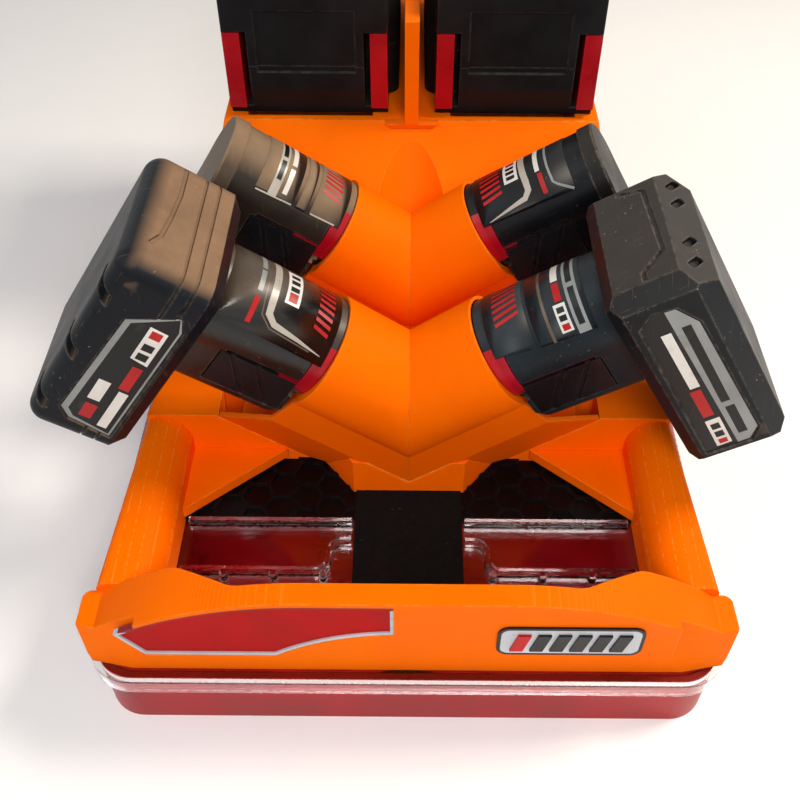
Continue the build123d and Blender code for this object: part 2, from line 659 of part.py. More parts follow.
def deck_solid():
    """Deck block, narrower towards the rear."""
    side = Polyline((0, DECK_FRONT_Y, 0), (0, DECK_FRONT_Y, DECK_LIP_HEIGHT),
                    (0, DECK_STEP_Y, DECK_STEP_HEIGHT), (0, DECK_REAR_Y, DECK_REAR_HEIGHT),
                    (0, DECK_REAR_Y, 0), close=True)
    body = extrude(make_face(side), DECK_FRONT_HALF, dir=(1, 0, 0), both=True)
    plan = [(-DECK_FRONT_HALF, DECK_FRONT_Y), (DECK_FRONT_HALF, DECK_FRONT_Y),
            (DECK_REAR_HALF, DECK_REAR_Y), (-DECK_REAR_HALF, DECK_REAR_Y)]
    return body & prism_up(plan, 0, FAR)


def deck_flute():
    """Groove down the middle of the ramp, steeper than it and so wider towards its foot."""
    ramp = math.atan2(DECK_REAR_HEIGHT - DECK_STEP_HEIGHT, DECK_REAR_Y - DECK_STEP_Y)
    fall = ramp + math.radians(FLUTE_TILT)
    along = Vector(0, math.cos(fall), math.sin(fall))
    across = Vector(0, -math.sin(fall), math.cos(fall))
    top = Vector(0, FLUTE_TOP_Y, deck_height(FLUTE_TOP_Y)) + across * FLUTE_RADIUS
    run = Plane(top, x_dir=(1, 0, 0), z_dir=along * -1) * Circle(FLUTE_RADIUS)
    return extrude(run, FLUTE_LENGTH, dir=along * -1)


deck = deck_solid() - deck_flute()
room = deck_pocket(SOCKET_FRONT_Y)
deck -= [room, flipped(room)]
for row_name, y in (("front", SOCKET_FRONT_Y), ("rear", SOCKET_REAR_Y)):
    outer = socket_solid(y)
    deck -= [outer, flipped(outer)]
    socket = outer - socket_bore(y)
    if row_name == "rear":
        socket -= socket_solid(SOCKET_FRONT_Y)
    add(f"socket_{row_name}_left", socket)
    add(f"socket_{row_name}_right", flipped(socket))
deck -= [seated(pack_name, belly_room()) for pack_name in PACK_SEATS]
add("deck", deck + hull())


# Rear dock, drop-and-slide channels and divider
def dock_channel(side):
    """Channel for one pack's tongue, wide in front and under two lips at its rear."""
    half = TONGUE_FLANGE_WIDTH / 2 + DOCK_CLEARANCE
    middle = side * SLIDE_PACK_X
    rear = TONGUE_BLOCK_Y + TONGUE_BLOCK_LENGTH + DOCK_CLEARANCE
    depth = TONGUE_NECK_HEIGHT + TONGUE_FLANGE_HEIGHT + DOCK_CLEARANCE
    front = DECK_REAR_Y + DOCK_FRONT_WALL
    wide = block((middle - half, middle + half), (front, rear), (DECK_REAR_HEIGHT - depth, FAR))
    lip_front = rear - DOCK_LIP_LENGTH
    lip_bottom = DECK_REAR_HEIGHT - TONGUE_NECK_HEIGHT + DOCK_CLEARANCE
    neck = TONGUE_NECK_WIDTH / 2 + DOCK_CLEARANCE
    for edge in (-1, 1):
        inner, outer = sorted((middle + edge * neck, middle + edge * half))
        wide -= block((inner, outer), (lip_front, rear), (lip_bottom, DECK_REAR_HEIGHT))
    return wide


def rear_dock():
    """Dock block behind the ramp."""
    body = block((-DECK_REAR_HALF, DECK_REAR_HALF), (DECK_REAR_Y, DOCK_REAR_Y), (0, DECK_REAR_HEIGHT))
    return body - [dock_channel(-1), dock_channel(1)]


def dock_divider():
    """Upright wall between the slide packs, with a tapered foot on the ramp's edge."""
    half = DIVIDER_THICKNESS / 2
    base = DECK_REAR_HEIGHT
    wall = block((-half, half), (DECK_REAR_Y, DECK_REAR_Y + DIVIDER_LENGTH), (base, base + DIVIDER_HEIGHT))
    toe = DIVIDER_FOOT_HALF - DIVIDER_FOOT_TAPER
    flare = [(toe, base - DIVIDER_FOOT_HEIGHT), (DIVIDER_FOOT_HALF, base),
             (-DIVIDER_FOOT_HALF, base), (-toe, base - DIVIDER_FOOT_HEIGHT)]
    front = DECK_REAR_Y - DIVIDER_FOOT_LENGTH
    foot = prism_across(flare, front, DECK_REAR_Y)
    post = block((-half, half), (front, DECK_REAR_Y), (base, base + DIVIDER_HEIGHT))
    nose = Pos(0, front, base) * Rot(DIVIDER_RAKE, 0, 0)
    cut = nose * block((-FAR, FAR), (-FAR, 0), (-FAR, FAR))
    return wall + post + foot - cut - deck_solid()


add("rear_dock", rear_dock())
add("dock_divider", dock_divider())


# Stem packs, drawn along z in the socket's own frame
def annulus_sector(inner, outer, start, end, bottom, top):
    """Part of a ring between two angles, drawn along z."""
    def at(radius, angle):
        turn = math.radians(angle)
        return (radius * math.cos(turn), radius * math.sin(turn))
    middle = (start + end) / 2
    edges = [ThreePointArc(at(outer, start), at(outer, middle), at(outer, end)),
             Line(at(outer, end), at(inner, end)),
             ThreePointArc(at(inner, end), at(inner, middle), at(inner, start)),
             Line(at(inner, start), at(outer, start))]
    return Pos(0, 0, bottom) * extrude(make_face(edges), top - bottom, dir=(0, 0, 1))


LATCH_TAB_START = LATCH_START - LATCH_TAB_LENGTH


def latch_lever():
    """Front latch: a pad in the belly's side, a strip along its top and a tab at the shell's end."""
    inner = BELLY_HALF - LATCH_PAD_THICKNESS
    pad = block((inner, BELLY_HALF + LATCH_CLEARANCE), (-LATCH_PAD_BOTTOM, -LATCH_PAD_TOP),
                (LATCH_START, LATCH_START + LATCH_PAD_LENGTH))
    strip = block((inner, BELLY_HALF - LATCH_STRIP_SINK),
                  (-LATCH_PAD_TOP, -LATCH_PAD_TOP + LATCH_STRIP_HEIGHT),
                  (LATCH_START, LATCH_START + LATCH_STRIP_LENGTH))
    tab = annulus_sector(SHELL_RADIUS - LATCH_TAB_THICKNESS, SHELL_RADIUS, LATCH_TAB_LOW, LATCH_TAB_HIGH,
                         LATCH_TAB_START, LATCH_START)
    return pad + strip + tab


def latch_room():
    """Pocket that the front latch moves in."""
    gap = LATCH_CLEARANCE
    deep = LATCH_TRAVEL + gap
    inner = BELLY_HALF - LATCH_PAD_THICKNESS - deep
    pad = block((inner, FAR), (-LATCH_PAD_BOTTOM - gap, -LATCH_PAD_TOP + gap),
                (LATCH_START - gap, LATCH_START + LATCH_PAD_LENGTH + gap))
    strip = block((inner, FAR), (-LATCH_PAD_TOP, -LATCH_PAD_TOP + LATCH_STRIP_HEIGHT + gap),
                  (LATCH_START - gap, LATCH_START + LATCH_STRIP_LENGTH + gap))
    turn = math.degrees(deep / (SHELL_RADIUS - LATCH_TAB_THICKNESS)) + LATCH_TAB_SWING
    tab = annulus_sector(SHELL_RADIUS - LATCH_TAB_THICKNESS - deep, 2 * SHELL_RADIUS, LATCH_TAB_LOW - turn,
                         LATCH_TAB_HIGH + turn, LATCH_TAB_START - gap, LATCH_START + gap)
    return pad + strip + tab


def grip_grooves():
    """Slanted grooves across the front latch pad."""
    middle_y = -(LATCH_PAD_TOP + LATCH_PAD_BOTTOM) / 2
    step = LATCH_PAD_LENGTH / (GRIP_GROOVE_COUNT + 1)
    bar = Rot(GRIP_GROOVE_SLANT, 0, 0) * Box(2 * GRIP_GROOVE_DEPTH, LATCH_PAD_BOTTOM, GRIP_GROOVE_WIDTH)
    face_x = BELLY_HALF + LATCH_CLEARANCE
    places = [LATCH_START + step * (index + 1) for index in range(GRIP_GROOVE_COUNT)]
    return [Pos(face_x, middle_y, place) * bar for place in places]


def pack_shell(end):
    """Stem, barrel and belly of a pack, up to the start of its base."""
    stem_start = SOCKET_FLOOR + STEM_SEAT_GAP
    stem = Pos(0, 0, stem_start) * extrude(Circle(STEM_RADIUS), SHELL_START - stem_start)
    stem = chamfer(stem.edges().sort_by(Axis.Z)[0], STEM_NOSE_ROUND)
    barrel = Pos(0, 0, SHELL_START) * extrude(Circle(SHELL_RADIUS), end - SHELL_START)
    belly = Pos(0, 0, BELLY_START) * extrude(shell_outline(0), end - BELLY_START)
    nose = shave(belly, (0, -BELLY_DROP, BELLY_START + BELLY_NOSE), (0, -1, -1))
    room = latch_room()
    return stem + barrel + nose - [room, mirror(room, about=Plane.YZ)]


def compact_base():
    """Short flared cap that closes a compact pack."""
    cap = Pos(0, 0, COMPACT_BASE_START) * extrude(shell_outline(COMPACT_BASE_FLARE), COMPACT_BASE_LENGTH)
    return chamfer(cap.edges().group_by(Axis.Z)[-1], COMPACT_BASE_FLARE)


def top_groove(points):
    """Shallow groove along a line on the base's top face."""
    face = Plane((0, TALL_BASE_TOP, 0), x_dir=(1, 0, 0), z_dir=(0, -1, 0)).location
    return face * extrude(trace(Polyline(*points), line_width=BROW_WIDTH), SEAM_DEPTH)


def front_panel(points):
    """Shallow recess for a label in the base's front face, given along the axis and upwards."""
    face = Plane((TALL_BASE_HALF, 0, 0), x_dir=(0, 0, 1), z_dir=(-1, 0, 0)).location
    return face * extrude(make_face(Polyline(*points, close=True)), PANEL_DEPTH)


def base_blank():
    """Plain block of a tall base."""
    return block((-TALL_BASE_HALF, TALL_BASE_HALF), (-TALL_BASE_DROP, TALL_BASE_TOP),
                 (TALL_BASE_START, TALL_BASE_END))


def round_base():
    """Cell housing with round edges, two parting seams, slot vents and a label panel."""
    housing = fillet(base_blank().edges().filter_by(Axis.Z), ROUND_BASE_CORNER)
    outline = housing.faces().sort_by(Axis.Z)[0]
    ring = extrude(outline - offset(outline, -SEAM_DEPTH), SEAM_WIDTH, dir=(0, 0, 1))
    rings = [Pos(0, 0, place - TALL_BASE_START) * ring for place in ROUND_BASE_SEAMS]
    housing = chamfer(housing.edges().group_by(Axis.Z)[0], TALL_BASE_NECK)
    housing = fillet(housing.edges().group_by(Axis.Z)[-1], ROUND_BASE_EDGE)
    housing -= rings
    slot = Rot(0, 0, -SLOT_VENT_SLANT) * Box(SLOT_VENT_LENGTH, SLOT_VENT_WIDTH, 2 * SLOT_VENT_DEPTH)
    for index in range(SLOT_VENT_COUNT):
        height = SLOT_VENT_TOP - index * SLOT_VENT_PITCH
        housing -= Pos(TALL_BASE_HALF - SLOT_VENT_LENGTH / 3, height, TALL_BASE_END) * slot
    housing -= top_groove(ROUND_BASE_BROW)
    return housing - front_panel(ROUND_BASE_PANEL)


def facet_base():
    """Cell housing with flat facets, oval vents in its shoulder and a label panel."""
    half, top, low = TALL_BASE_HALF, TALL_BASE_TOP, -TALL_BASE_DROP
    start, end = TALL_BASE_START + TALL_BASE_NECK, TALL_BASE_END - FACET_BASE_EDGE
    shoulder = Vector(0, SHOULDER_LENGTH, SHOULDER_DROP)
    housing = base_blank()
    for side in (-1, 1):
        housing = shave(housing, (side * half, top - FACET_BASE_CORNER, 0), (side, 1, 0))
        housing = shave(housing, (side * half, low + FACET_BASE_FOOT, 0), (side, -1, 0))
        housing = shave(housing, (side * half, 0, start), (side, 0, -1))
        housing = shave(housing, (side * half, 0, end), (side, 0, 1))
    housing = shave(housing, (0, top, start), (0, 1, -1))
    housing = shave(housing, (0, low, start), (0, -1, -1))
    housing = shave(housing, (0, low, TALL_BASE_END - FACET_BASE_FOOT), (0, -1, 1))
    housing = shave(housing, (0, top, TALL_BASE_END - SHOULDER_LENGTH), shoulder)
    oval = SlotOverall(OVAL_VENT_LENGTH, OVAL_VENT_WIDTH, rotation=OVAL_VENT_SLANT)
    for place in OVAL_VENT_PLACES:
        middle = (place, top - SHOULDER_DROP / 2, TALL_BASE_END - SHOULDER_LENGTH / 2)
        vent = Plane(middle, x_dir=(1, 0, 0), z_dir=shoulder) * oval
        housing -= extrude(vent, OVAL_VENT_DEPTH, dir=shoulder * -1)
    housing -= top_groove(FACET_BASE_BROW)
    return housing - front_panel(FACET_BASE_PANEL)


latch = latch_lever() - grip_grooves()
tall_shell = pack_shell(TALL_BASE_START)
compact_shell = pack_shell(COMPACT_BASE_START)
pack_bodies = {"front_left": (tall_shell, round_base()), "front_right": (tall_shell, facet_base()),
               "rear_left": (compact_shell, compact_base()), "rear_right": (compact_shell, compact_base())}
for pack_name, (shell, base) in pack_bodies.items():
    pieces = {"shell": shell, "base": base, "latch_a": latch, "latch_b": mirror(latch, about=Plane.YZ)}
    for piece_name, piece in pieces.items():
        add(f"pack_{pack_name}_{piece_name}", seated(pack_name, piece))


# Slide packs
def slide_pack_blank():
    """Outer form of the left pack: a wide body and a narrower nose with a sloped foot."""
    low = DECK_REAR_HEIGHT + SLIDE_PACK_LIFT
    z_span = (low, low + SLIDE_PACK_HEIGHT)
    nose_end = SLIDE_PACK_Y + NOSE_LENGTH
    half = SLIDE_PACK_WIDTH / 2
    body = block((-half, half), (nose_end, SLIDE_PACK_Y + SLIDE_PACK_LENGTH), z_span)
    body = fillet(body.edges().filter_by(Axis.Z), SLIDE_PACK_CORNER)
    nose = block((-NOSE_WIDTH / 2, NOSE_WIDTH / 2), (SLIDE_PACK_Y, nose_end + SLIDE_PACK_CORNER), z_span)
    foot_edge = nose.edges().filter_by(Axis.X).sort_by(Axis.Y)[:2].sort_by(Axis.Z)[0]
    nose = chamfer(foot_edge, NOSE_CHAMFER_HEIGHT, NOSE_CHAMFER_DEPTH)
    return body + nose


def button_solid(grow, travel):
    """Release button at the nose's right edge, with room for its travel if asked."""
    outer = NOSE_WIDTH / 2
    low = DECK_REAR_HEIGHT + SLIDE_PACK_LIFT + BUTTON_BOTTOM
    x_span = (outer - BUTTON_WIDTH - grow - travel, outer + grow)
    y_span = (SLIDE_PACK_Y - grow, SLIDE_PACK_Y + BUTTON_LENGTH + grow)
    return block(x_span, y_span, (low - grow, low + BUTTON_HEIGHT + grow))


def slide_pack_tongue():
    """Flanged tongue under the pack that the dock's lips hold down."""
    low = DECK_REAR_HEIGHT + SLIDE_PACK_LIFT
    y_span = (TONGUE_BLOCK_Y, TONGUE_BLOCK_Y + TONGUE_BLOCK_LENGTH)
    neck = block((-TONGUE_NECK_WIDTH / 2, TONGUE_NECK_WIDTH / 2), y_span, (low - TONGUE_NECK_HEIGHT, low))
    flange_top = low - TONGUE_NECK_HEIGHT
    flange = block((-TONGUE_FLANGE_WIDTH / 2, TONGUE_FLANGE_WIDTH / 2), y_span,
                   (flange_top - TONGUE_FLANGE_HEIGHT, flange_top))
    return neck + flange


def slide_pack_pieces():
    """Lower half with its tongue, upper half and two buttons of one pack, centred on x = 0."""
    low = DECK_REAR_HEIGHT + SLIDE_PACK_LIFT
    blank = slide_pack_blank()
    room = button_solid(BUTTON_CLEARANCE, BUTTON_TRAVEL)
    blank -= [room, flipped(room)]
    label = block((-NOSE_LABEL_WIDTH / 2, NOSE_LABEL_WIDTH / 2),
                  (SLIDE_PACK_Y - NOSE_LABEL_DEPTH, SLIDE_PACK_Y + NOSE_LABEL_DEPTH),
                  (low + NOSE_LABEL_START, low + NOSE_LABEL_START + NOSE_LABEL_HEIGHT))
    blank -= label
    seam = low + SLIDE_PACK_SEAM
    everywhere = (-FAR, FAR)
    lower = blank & block(everywhere, everywhere, (0, seam))
    upper = blank & block(everywhere, everywhere, (seam, FAR))
    button = button_solid(0, 0)
    return {"lower": lower + slide_pack_tongue(), "upper": upper,
            "button_right": button, "button_left": flipped(button)}


for side_name, side in (("left", -1), ("right", 1)):
    for piece_name, piece in slide_pack_pieces().items():
        add(f"slide_pack_{side_name}_{piece_name}", Pos(side * SLIDE_PACK_X, 0, 0) * piece)


os.makedirs("parts", exist_ok=True)
for name, solid in NODES.items():
    export_step(solid, f"parts/{name}.step")
print(len(NODES), "nodes")
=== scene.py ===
import math

import bmesh
import bpy
from mathutils import Matrix, Vector, noise


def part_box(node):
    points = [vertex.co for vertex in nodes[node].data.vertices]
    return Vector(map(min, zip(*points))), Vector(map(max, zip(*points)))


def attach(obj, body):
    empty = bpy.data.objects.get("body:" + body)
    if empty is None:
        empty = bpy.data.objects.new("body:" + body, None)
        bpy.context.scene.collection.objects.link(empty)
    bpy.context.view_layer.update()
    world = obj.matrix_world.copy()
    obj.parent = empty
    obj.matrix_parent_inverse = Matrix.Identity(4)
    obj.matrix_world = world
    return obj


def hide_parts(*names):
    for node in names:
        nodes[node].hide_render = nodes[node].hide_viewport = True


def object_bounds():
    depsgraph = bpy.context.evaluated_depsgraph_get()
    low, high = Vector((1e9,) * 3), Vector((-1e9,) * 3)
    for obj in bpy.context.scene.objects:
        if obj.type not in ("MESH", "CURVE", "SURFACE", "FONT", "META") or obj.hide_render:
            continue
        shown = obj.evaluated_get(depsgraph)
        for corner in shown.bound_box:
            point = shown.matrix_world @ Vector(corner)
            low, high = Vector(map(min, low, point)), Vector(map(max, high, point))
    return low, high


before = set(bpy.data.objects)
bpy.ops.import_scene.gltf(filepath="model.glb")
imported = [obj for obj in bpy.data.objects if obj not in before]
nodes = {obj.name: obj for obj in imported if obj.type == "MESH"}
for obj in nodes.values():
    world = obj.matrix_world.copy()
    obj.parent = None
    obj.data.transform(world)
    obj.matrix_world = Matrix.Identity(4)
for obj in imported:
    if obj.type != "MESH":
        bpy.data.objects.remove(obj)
cad_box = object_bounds()
MM = 0.001

# Seats of the four stem packs in the caddy: side, row, roll and sag, in millimetres and degrees
PACK_SEATS = {"front_left": (-1, 99.0, 0.0, 2.0), "front_right": (1, 99.0, 0.0, 5.0),
              "rear_left": (-1, 179.0, 11.0, 2.0), "rear_right": (1, 179.0, 11.0, 4.5)}
SOCKET_LEAN = math.radians(35.7)
# Millimetres, in the caddy's frame or along a pack's own axes
SAG_PIVOT = 34.0
CROSS_HEIGHT = 52.0
CADDY_FRONT_Y = -190.0
CADDY_BASE_Z = 33.0
BARREL_RADIUS = 21.3
BASE_PANEL_FACE = 32.1
PANEL_STEP = 200.0
PAD_TOP = -4.5
PAD_START = 50.0
STRIP_TOP = -2.7
STRIP_STEP = 0.2
STRIP_RED_END = {"front_left": 58.0, "front_right": 90.0, "rear_left": 62.0, "rear_right": 56.0}
DUST_AND_SHEEN_FADE = (124.0, 130.0)
WRAP_START = 46.6
WRAP_THICKNESS = 0.3
PRINT_LIFT = 0.06
MOUTH_CLEAR = 44.3
LIP_END = 46.7
LIP_GAP = 0.1
LIP_STEPS = 24
# Degrees round a barrel
WRAP_REAR = 160
BARREL_STEP = 5.0
TAB_SPAN = (-24.0, 44.0)
# Metres
RAIL_SEAM_PITCH = 0.0042
# Felt strip: columns and row pitch of its mesh, and in metres its mean depth, unevenness and turned-down edge
FELT_COLUMNS = 47
FELT_PITCH = 0.001
FELT_SINK = 0.00022
FELT_WAVE = 0.00018
FELT_WAVE_SCALE = 420.0
FELT_EDGE_TURN = 0.0004
# Line in metres above which the plate's bezel is painted dark red, a painted shade where the recess hides it: its left
# end, its height there and its slope
BEZEL_LEFT = -0.109
BEZEL_RED_FROM = 0.0577
BEZEL_RED_SLOPE = 0.166
# Range of a cloud's values that is used, and what the finishes share
CLOUD_SPAN = (0.3, 0.7)
GLOSS_SPREAD = 0.07
DUST_ROUGHENING = 0.25
TRIM_GRAIN = 900.0


def pack_point(pack, u, v, s):
    """Place in metres of a point in a stem pack's own frame: u forward, v up off the axis, s along it."""
    side, row, roll, sag = PACK_SEATS[pack]
    spun = Matrix.Rotation(math.radians(roll), 3, "Z") @ Vector((u, v, s - SAG_PIVOT))
    u, v, s = Matrix.Rotation(math.radians(sag), 3, "X") @ spun
    s += SAG_PIVOT
    across = side * (math.cos(SOCKET_LEAN) * s - math.sin(SOCKET_LEAN) * v)
    height = CROSS_HEIGHT + math.sin(SOCKET_LEAN) * s + math.cos(SOCKET_LEAN) * v
    return MM * Vector((across, CADDY_FRONT_Y + row - u, CADDY_BASE_Z + height))


# Shader building blocks
def add_node(tree, kind, **settings):
    """One shader node with its settings."""
    made = tree.nodes.new(kind)
    for key, value in settings.items():
        setattr(made, key, value)
    return made


def feed(tree, socket, value):
    """Link a socket to another node's output, or set it to a constant."""
    if isinstance(value, bpy.types.NodeSocket):
        tree.links.new(value, socket)
    else:
        socket.default_value = value


def calc(tree, operation, first, second=0.0, clamp=False):
    """Result of one arithmetic step."""
    step = add_node(tree, "ShaderNodeMath", operation=operation, use_clamp=clamp)
    feed(tree, step.inputs[0], first)
    feed(tree, step.inputs[1], second)
    return step.outputs[0]


def remap(tree, value, low, high, new_low=0.0, new_high=1.0):
    """A value stretched from one range onto another and held inside it."""
    step = add_node(tree, "ShaderNodeMapRange")
    for name, number in (("Value", value), ("From Min", low), ("From Max", high),
                         ("To Min", new_low), ("To Max", new_high)):
        feed(tree, step.inputs[name], number)
    return step.outputs["Result"]


def tint(tree, mask, first, second):
    """Colour that goes from the first to the second with a mask."""
    step = add_node(tree, "ShaderNodeMix", data_type="RGBA")
    feed(tree, step.inputs["Factor"], mask)
    colours = [s for s in step.inputs if s.type == "RGBA"]
    for socket, colour in zip(colours, (first, second)):
        feed(tree, socket, colour if isinstance(colour, bpy.types.NodeSocket) else (*colour, 1.0))
    return [s for s in step.outputs if s.type == "RGBA"][0]


def object_place(tree, stretch=(1, 1, 1), turn=(0, 0, 0)):
    """The object's own coordinates, stretched and turned."""
    place = add_node(tree, "ShaderNodeTexCoord")
    mapping = add_node(tree, "ShaderNodeMapping")
    mapping.inputs["Scale"].default_value = stretch
    mapping.inputs["Rotation"].default_value = turn
    tree.links.new(place.outputs["Object"], mapping.inputs["Vector"])
    return mapping.outputs["Vector"]


def mottle(tree, scale, detail=3.0, roughness=0.55, stretch=(1, 1, 1), turn=(0, 0, 0)):
    """Cloudy value between 0 and 1."""
    cloud = add_node(tree, "ShaderNodeTexNoise")
    tree.links.new(object_place(tree, stretch, turn), cloud.inputs["Vector"])
    feed(tree, cloud.inputs["Scale"], scale)
    cloud.inputs["Detail"].default_value = detail
    cloud.inputs["Roughness"].default_value = roughness
    return cloud.outputs["Fac"]


def shader_group(name, inputs, outputs):
    """An empty node group with named sockets; returns it with its two ends."""
    group = bpy.data.node_groups.new(name, "ShaderNodeTree")
    for label, value in inputs:
        socket = group.interface.new_socket(name=label, in_out="INPUT", socket_type="NodeSocketFloat")
        socket.default_value = value
    for label in outputs:
        group.interface.new_socket(name=label, in_out="OUTPUT", socket_type="NodeSocketFloat")
    start = group.nodes.new("NodeGroupInput")
    end = group.nodes.new("NodeGroupOutput")
    return group, start.outputs, end.inputs


def place_group(tree, group, **values):
    """A group set into a material, with its own values; returns its outputs."""
    step = add_node(tree, "ShaderNodeGroup", node_tree=group)
    for key, value in values.items():
        step.inputs[key].default_value = value
    return step.outputs


def make_print_layers():
    """Fine level steps of a printed part: a height and a line mask."""
    tree, start, end = shader_group("print_layers", [("Layer", 0.0004), ("Wobble", 0.00005)], ["Height", "Line"])
    split = add_node(tree, "ShaderNodeSeparateXYZ")
    tree.links.new(object_place(tree), split.inputs[0])
    drift = calc(tree, "MULTIPLY", mottle(tree, scale=60.0), start["Wobble"])
    level = calc(tree, "ADD", split.outputs["Z"], drift)
    saw = calc(tree, "FRACT", calc(tree, "DIVIDE", level, start["Layer"]))
    tree.links.new(saw, end["Height"])
    tree.links.new(remap(tree, saw, 0.0, 0.22, 1.0, 0.0), end["Line"])
    return tree


def make_moulded_grain():
    """Fine spark-eroded texture of moulded plastic and its broad gloss changes."""
    tree, start, end = shader_group("moulded_grain", [("Scale", 1500.0)], ["Height", "Cloud"])
    fine = mottle(tree, start["Scale"], detail=2.0)
    tree.links.new(fine, end["Height"])
    tree.links.new(mottle(tree, scale=45.0, detail=5.0), end["Cloud"])
    return tree


def make_edge_wear_and_highlight():
    """Mask of rubbed edges, broken up by a cloud; on the orange prints and the mat it also paints a highlight along the
    edges.
    """
    tree, start, end = shader_group("edge_wear_and_highlight", [("Reach", 0.0012), ("Amount", 0.5)], ["Wear"])
    soft = add_node(tree, "ShaderNodeBevel", samples=4)
    tree.links.new(start["Reach"], soft.inputs["Radius"])
    true = add_node(tree, "ShaderNodeNewGeometry")
    dot = add_node(tree, "ShaderNodeVectorMath", operation="DOT_PRODUCT")
    tree.links.new(soft.outputs["Normal"], dot.inputs[0])
    tree.links.new(true.outputs["Normal"], dot.inputs[1])
    near = remap(tree, dot.outputs["Value"], 0.995, 0.85)
    broken = remap(tree, mottle(tree, scale=260.0, detail=4.0, roughness=0.7), 0.38, 0.62)
    worn_and_highlit_colour = calc(tree, "MULTIPLY", near, broken)
    tree.links.new(calc(tree, "MULTIPLY", worn_and_highlit_colour, start["Amount"], clamp=True), end["Wear"])
    return tree


def make_dust_and_sheen():
    """Dust and a painted warm sheen on upward faces, with pale specks of dust."""
    tree, start, end = shader_group("dust_and_sheen", [("Amount", 0.3), ("Specks", 0.3)], ["Dust", "Speck"])
    true = add_node(tree, "ShaderNodeNewGeometry")
    split = add_node(tree, "ShaderNodeSeparateXYZ")
    tree.links.new(true.outputs["Normal"], split.inputs[0])
    upward = remap(tree, split.outputs["Z"], 0.5, 0.85)
    cloud = remap(tree, mottle(tree, scale=38.0, detail=6.0, roughness=0.65), 0.35, 0.7, 0.7, 1.0)
    film = calc(tree, "MULTIPLY", calc(tree, "MULTIPLY", upward, cloud), start["Amount"])
    tree.links.new(film, end["Dust"])
    crumbs = remap(tree, mottle(tree, scale=620.0, detail=2.0, roughness=0.6), 0.68, 0.74)
    patch = remap(tree, mottle(tree, scale=55.0, detail=3.0), 0.48, 0.62)
    tree.links.new(calc(tree, "MULTIPLY", calc(tree, "MULTIPLY", crumbs, patch), start["Specks"]), end["Speck"])
    return tree


def make_scuffs():
    """Fine straight scuffs in two directions."""
    tree, start, end = shader_group("scuffs", [("Amount", 0.4)], ["Scuff"])
    drag = mottle(tree, scale=70.0, detail=2.0, roughness=0.6, stretch=(1, 22, 1), turn=(0.4, 0.2, 0.6))
    first = remap(tree, drag, 0.66, 0.72)
    drag = mottle(tree, scale=55.0, detail=2.0, roughness=0.6, stretch=(20, 1, 1), turn=(0.2, 0.7, -0.5))
    second = remap(tree, drag, 0.68, 0.73)
    both = calc(tree, "MAXIMUM", first, second)
    tree.links.new(calc(tree, "MULTIPLY", both, start["Amount"], clamp=True), end["Scuff"])
    return tree


PRINT_LAYERS = make_print_layers()
MOULDED_GRAIN = make_moulded_grain()
EDGE_WEAR_AND_HIGHLIGHT = make_edge_wear_and_highlight()
DUST_AND_SHEEN = make_dust_and_sheen()
SCUFFS = make_scuffs()


# Finishes
FINISHES = {}


def srgb(red, green, blue):
    """A colour read in 0 to 255 steps, as the shader's linear values."""
    def linear(step):
        part = step / 255
        return part / 12.92 if part <= 0.04045 else ((part + 0.055) / 1.055) ** 2.4
    return (linear(red), linear(green), linear(blue))


def new_finish(name):
    """A fresh material with its tree and main shader."""
    finish = bpy.data.materials.new(name)
    finish.use_nodes = True
    FINISHES[name] = finish
    return finish.node_tree, finish.node_tree.nodes["Principled BSDF"]


def relief(tree, shader, height, depth, strength=1.0, soft_edge=0.0):
    """Fine surface relief from a height, over edges that look softened."""
    bump = add_node(tree, "ShaderNodeBump")
    bump.inputs["Strength"].default_value = strength
    bump.inputs["Distance"].default_value = depth
    tree.links.new(height, bump.inputs["Height"])
    if soft_edge:
        edge = add_node(tree, "ShaderNodeBevel", samples=4)
        edge.inputs["Radius"].default_value = soft_edge
        tree.links.new(edge.outputs["Normal"], bump.inputs["Normal"])
    tree.links.new(bump.outputs["Normal"], shader.inputs["Normal"])


def printed_orange(name, lines, seam=0.0):
    """Satin orange filament with layer lines, paler edges that are rubbed wear and a painted edge highlight, and, on
    the rails, seams along their length.
    """
    tree, shader = new_finish(name)
    layers = place_group(tree, PRINT_LAYERS)
    grain = place_group(tree, MOULDED_GRAIN, Scale=TRIM_GRAIN)
    wear_and_highlight = place_group(tree, EDGE_WEAR_AND_HIGHLIGHT, Reach=0.0011, Amount=0.55)
    colour = tint(tree, grain["Cloud"], srgb(246, 101, 0), srgb(255, 115, 0))
    colour = tint(tree, calc(tree, "MULTIPLY", layers["Line"], lines), colour, srgb(255, 150, 44))
    height = calc(tree, "MULTIPLY", layers["Height"], 2.5 * lines)
    if seam:
        split = add_node(tree, "ShaderNodeSeparateXYZ")
        tree.links.new(object_place(tree), split.inputs[0])
        out = calc(tree, "ABSOLUTE", split.outputs["X"])
        across = calc(tree, "FRACT", calc(tree, "DIVIDE", out, RAIL_SEAM_PITCH))
        dots = remap(tree, mottle(tree, scale=420.0, detail=2.0), 0.45, 0.55)
        line = calc(tree, "MULTIPLY", calc(tree, "LESS_THAN", across, 0.14), dots)
        colour = tint(tree, calc(tree, "MULTIPLY", line, seam), colour, srgb(255, 158, 58))
        height = calc(tree, "ADD", height, line)
    # Edges tinted pale orange: rubbed wear and a painted edge highlight
    edged = tint(tree, wear_and_highlight["Wear"], colour, srgb(255, 168, 74))
    tree.links.new(edged, shader.inputs["Base Color"])
    tree.links.new(remap(tree, grain["Cloud"], *CLOUD_SPAN, 0.42, 0.56), shader.inputs["Roughness"])
    shader.inputs["Specular IOR Level"].default_value = 0.03
    height = calc(tree, "ADD", height, calc(tree, "MULTIPLY", grain["Height"], 0.6))
    relief(tree, shader, height, depth=0.0001, strength=0.7, soft_edge=0.0009)


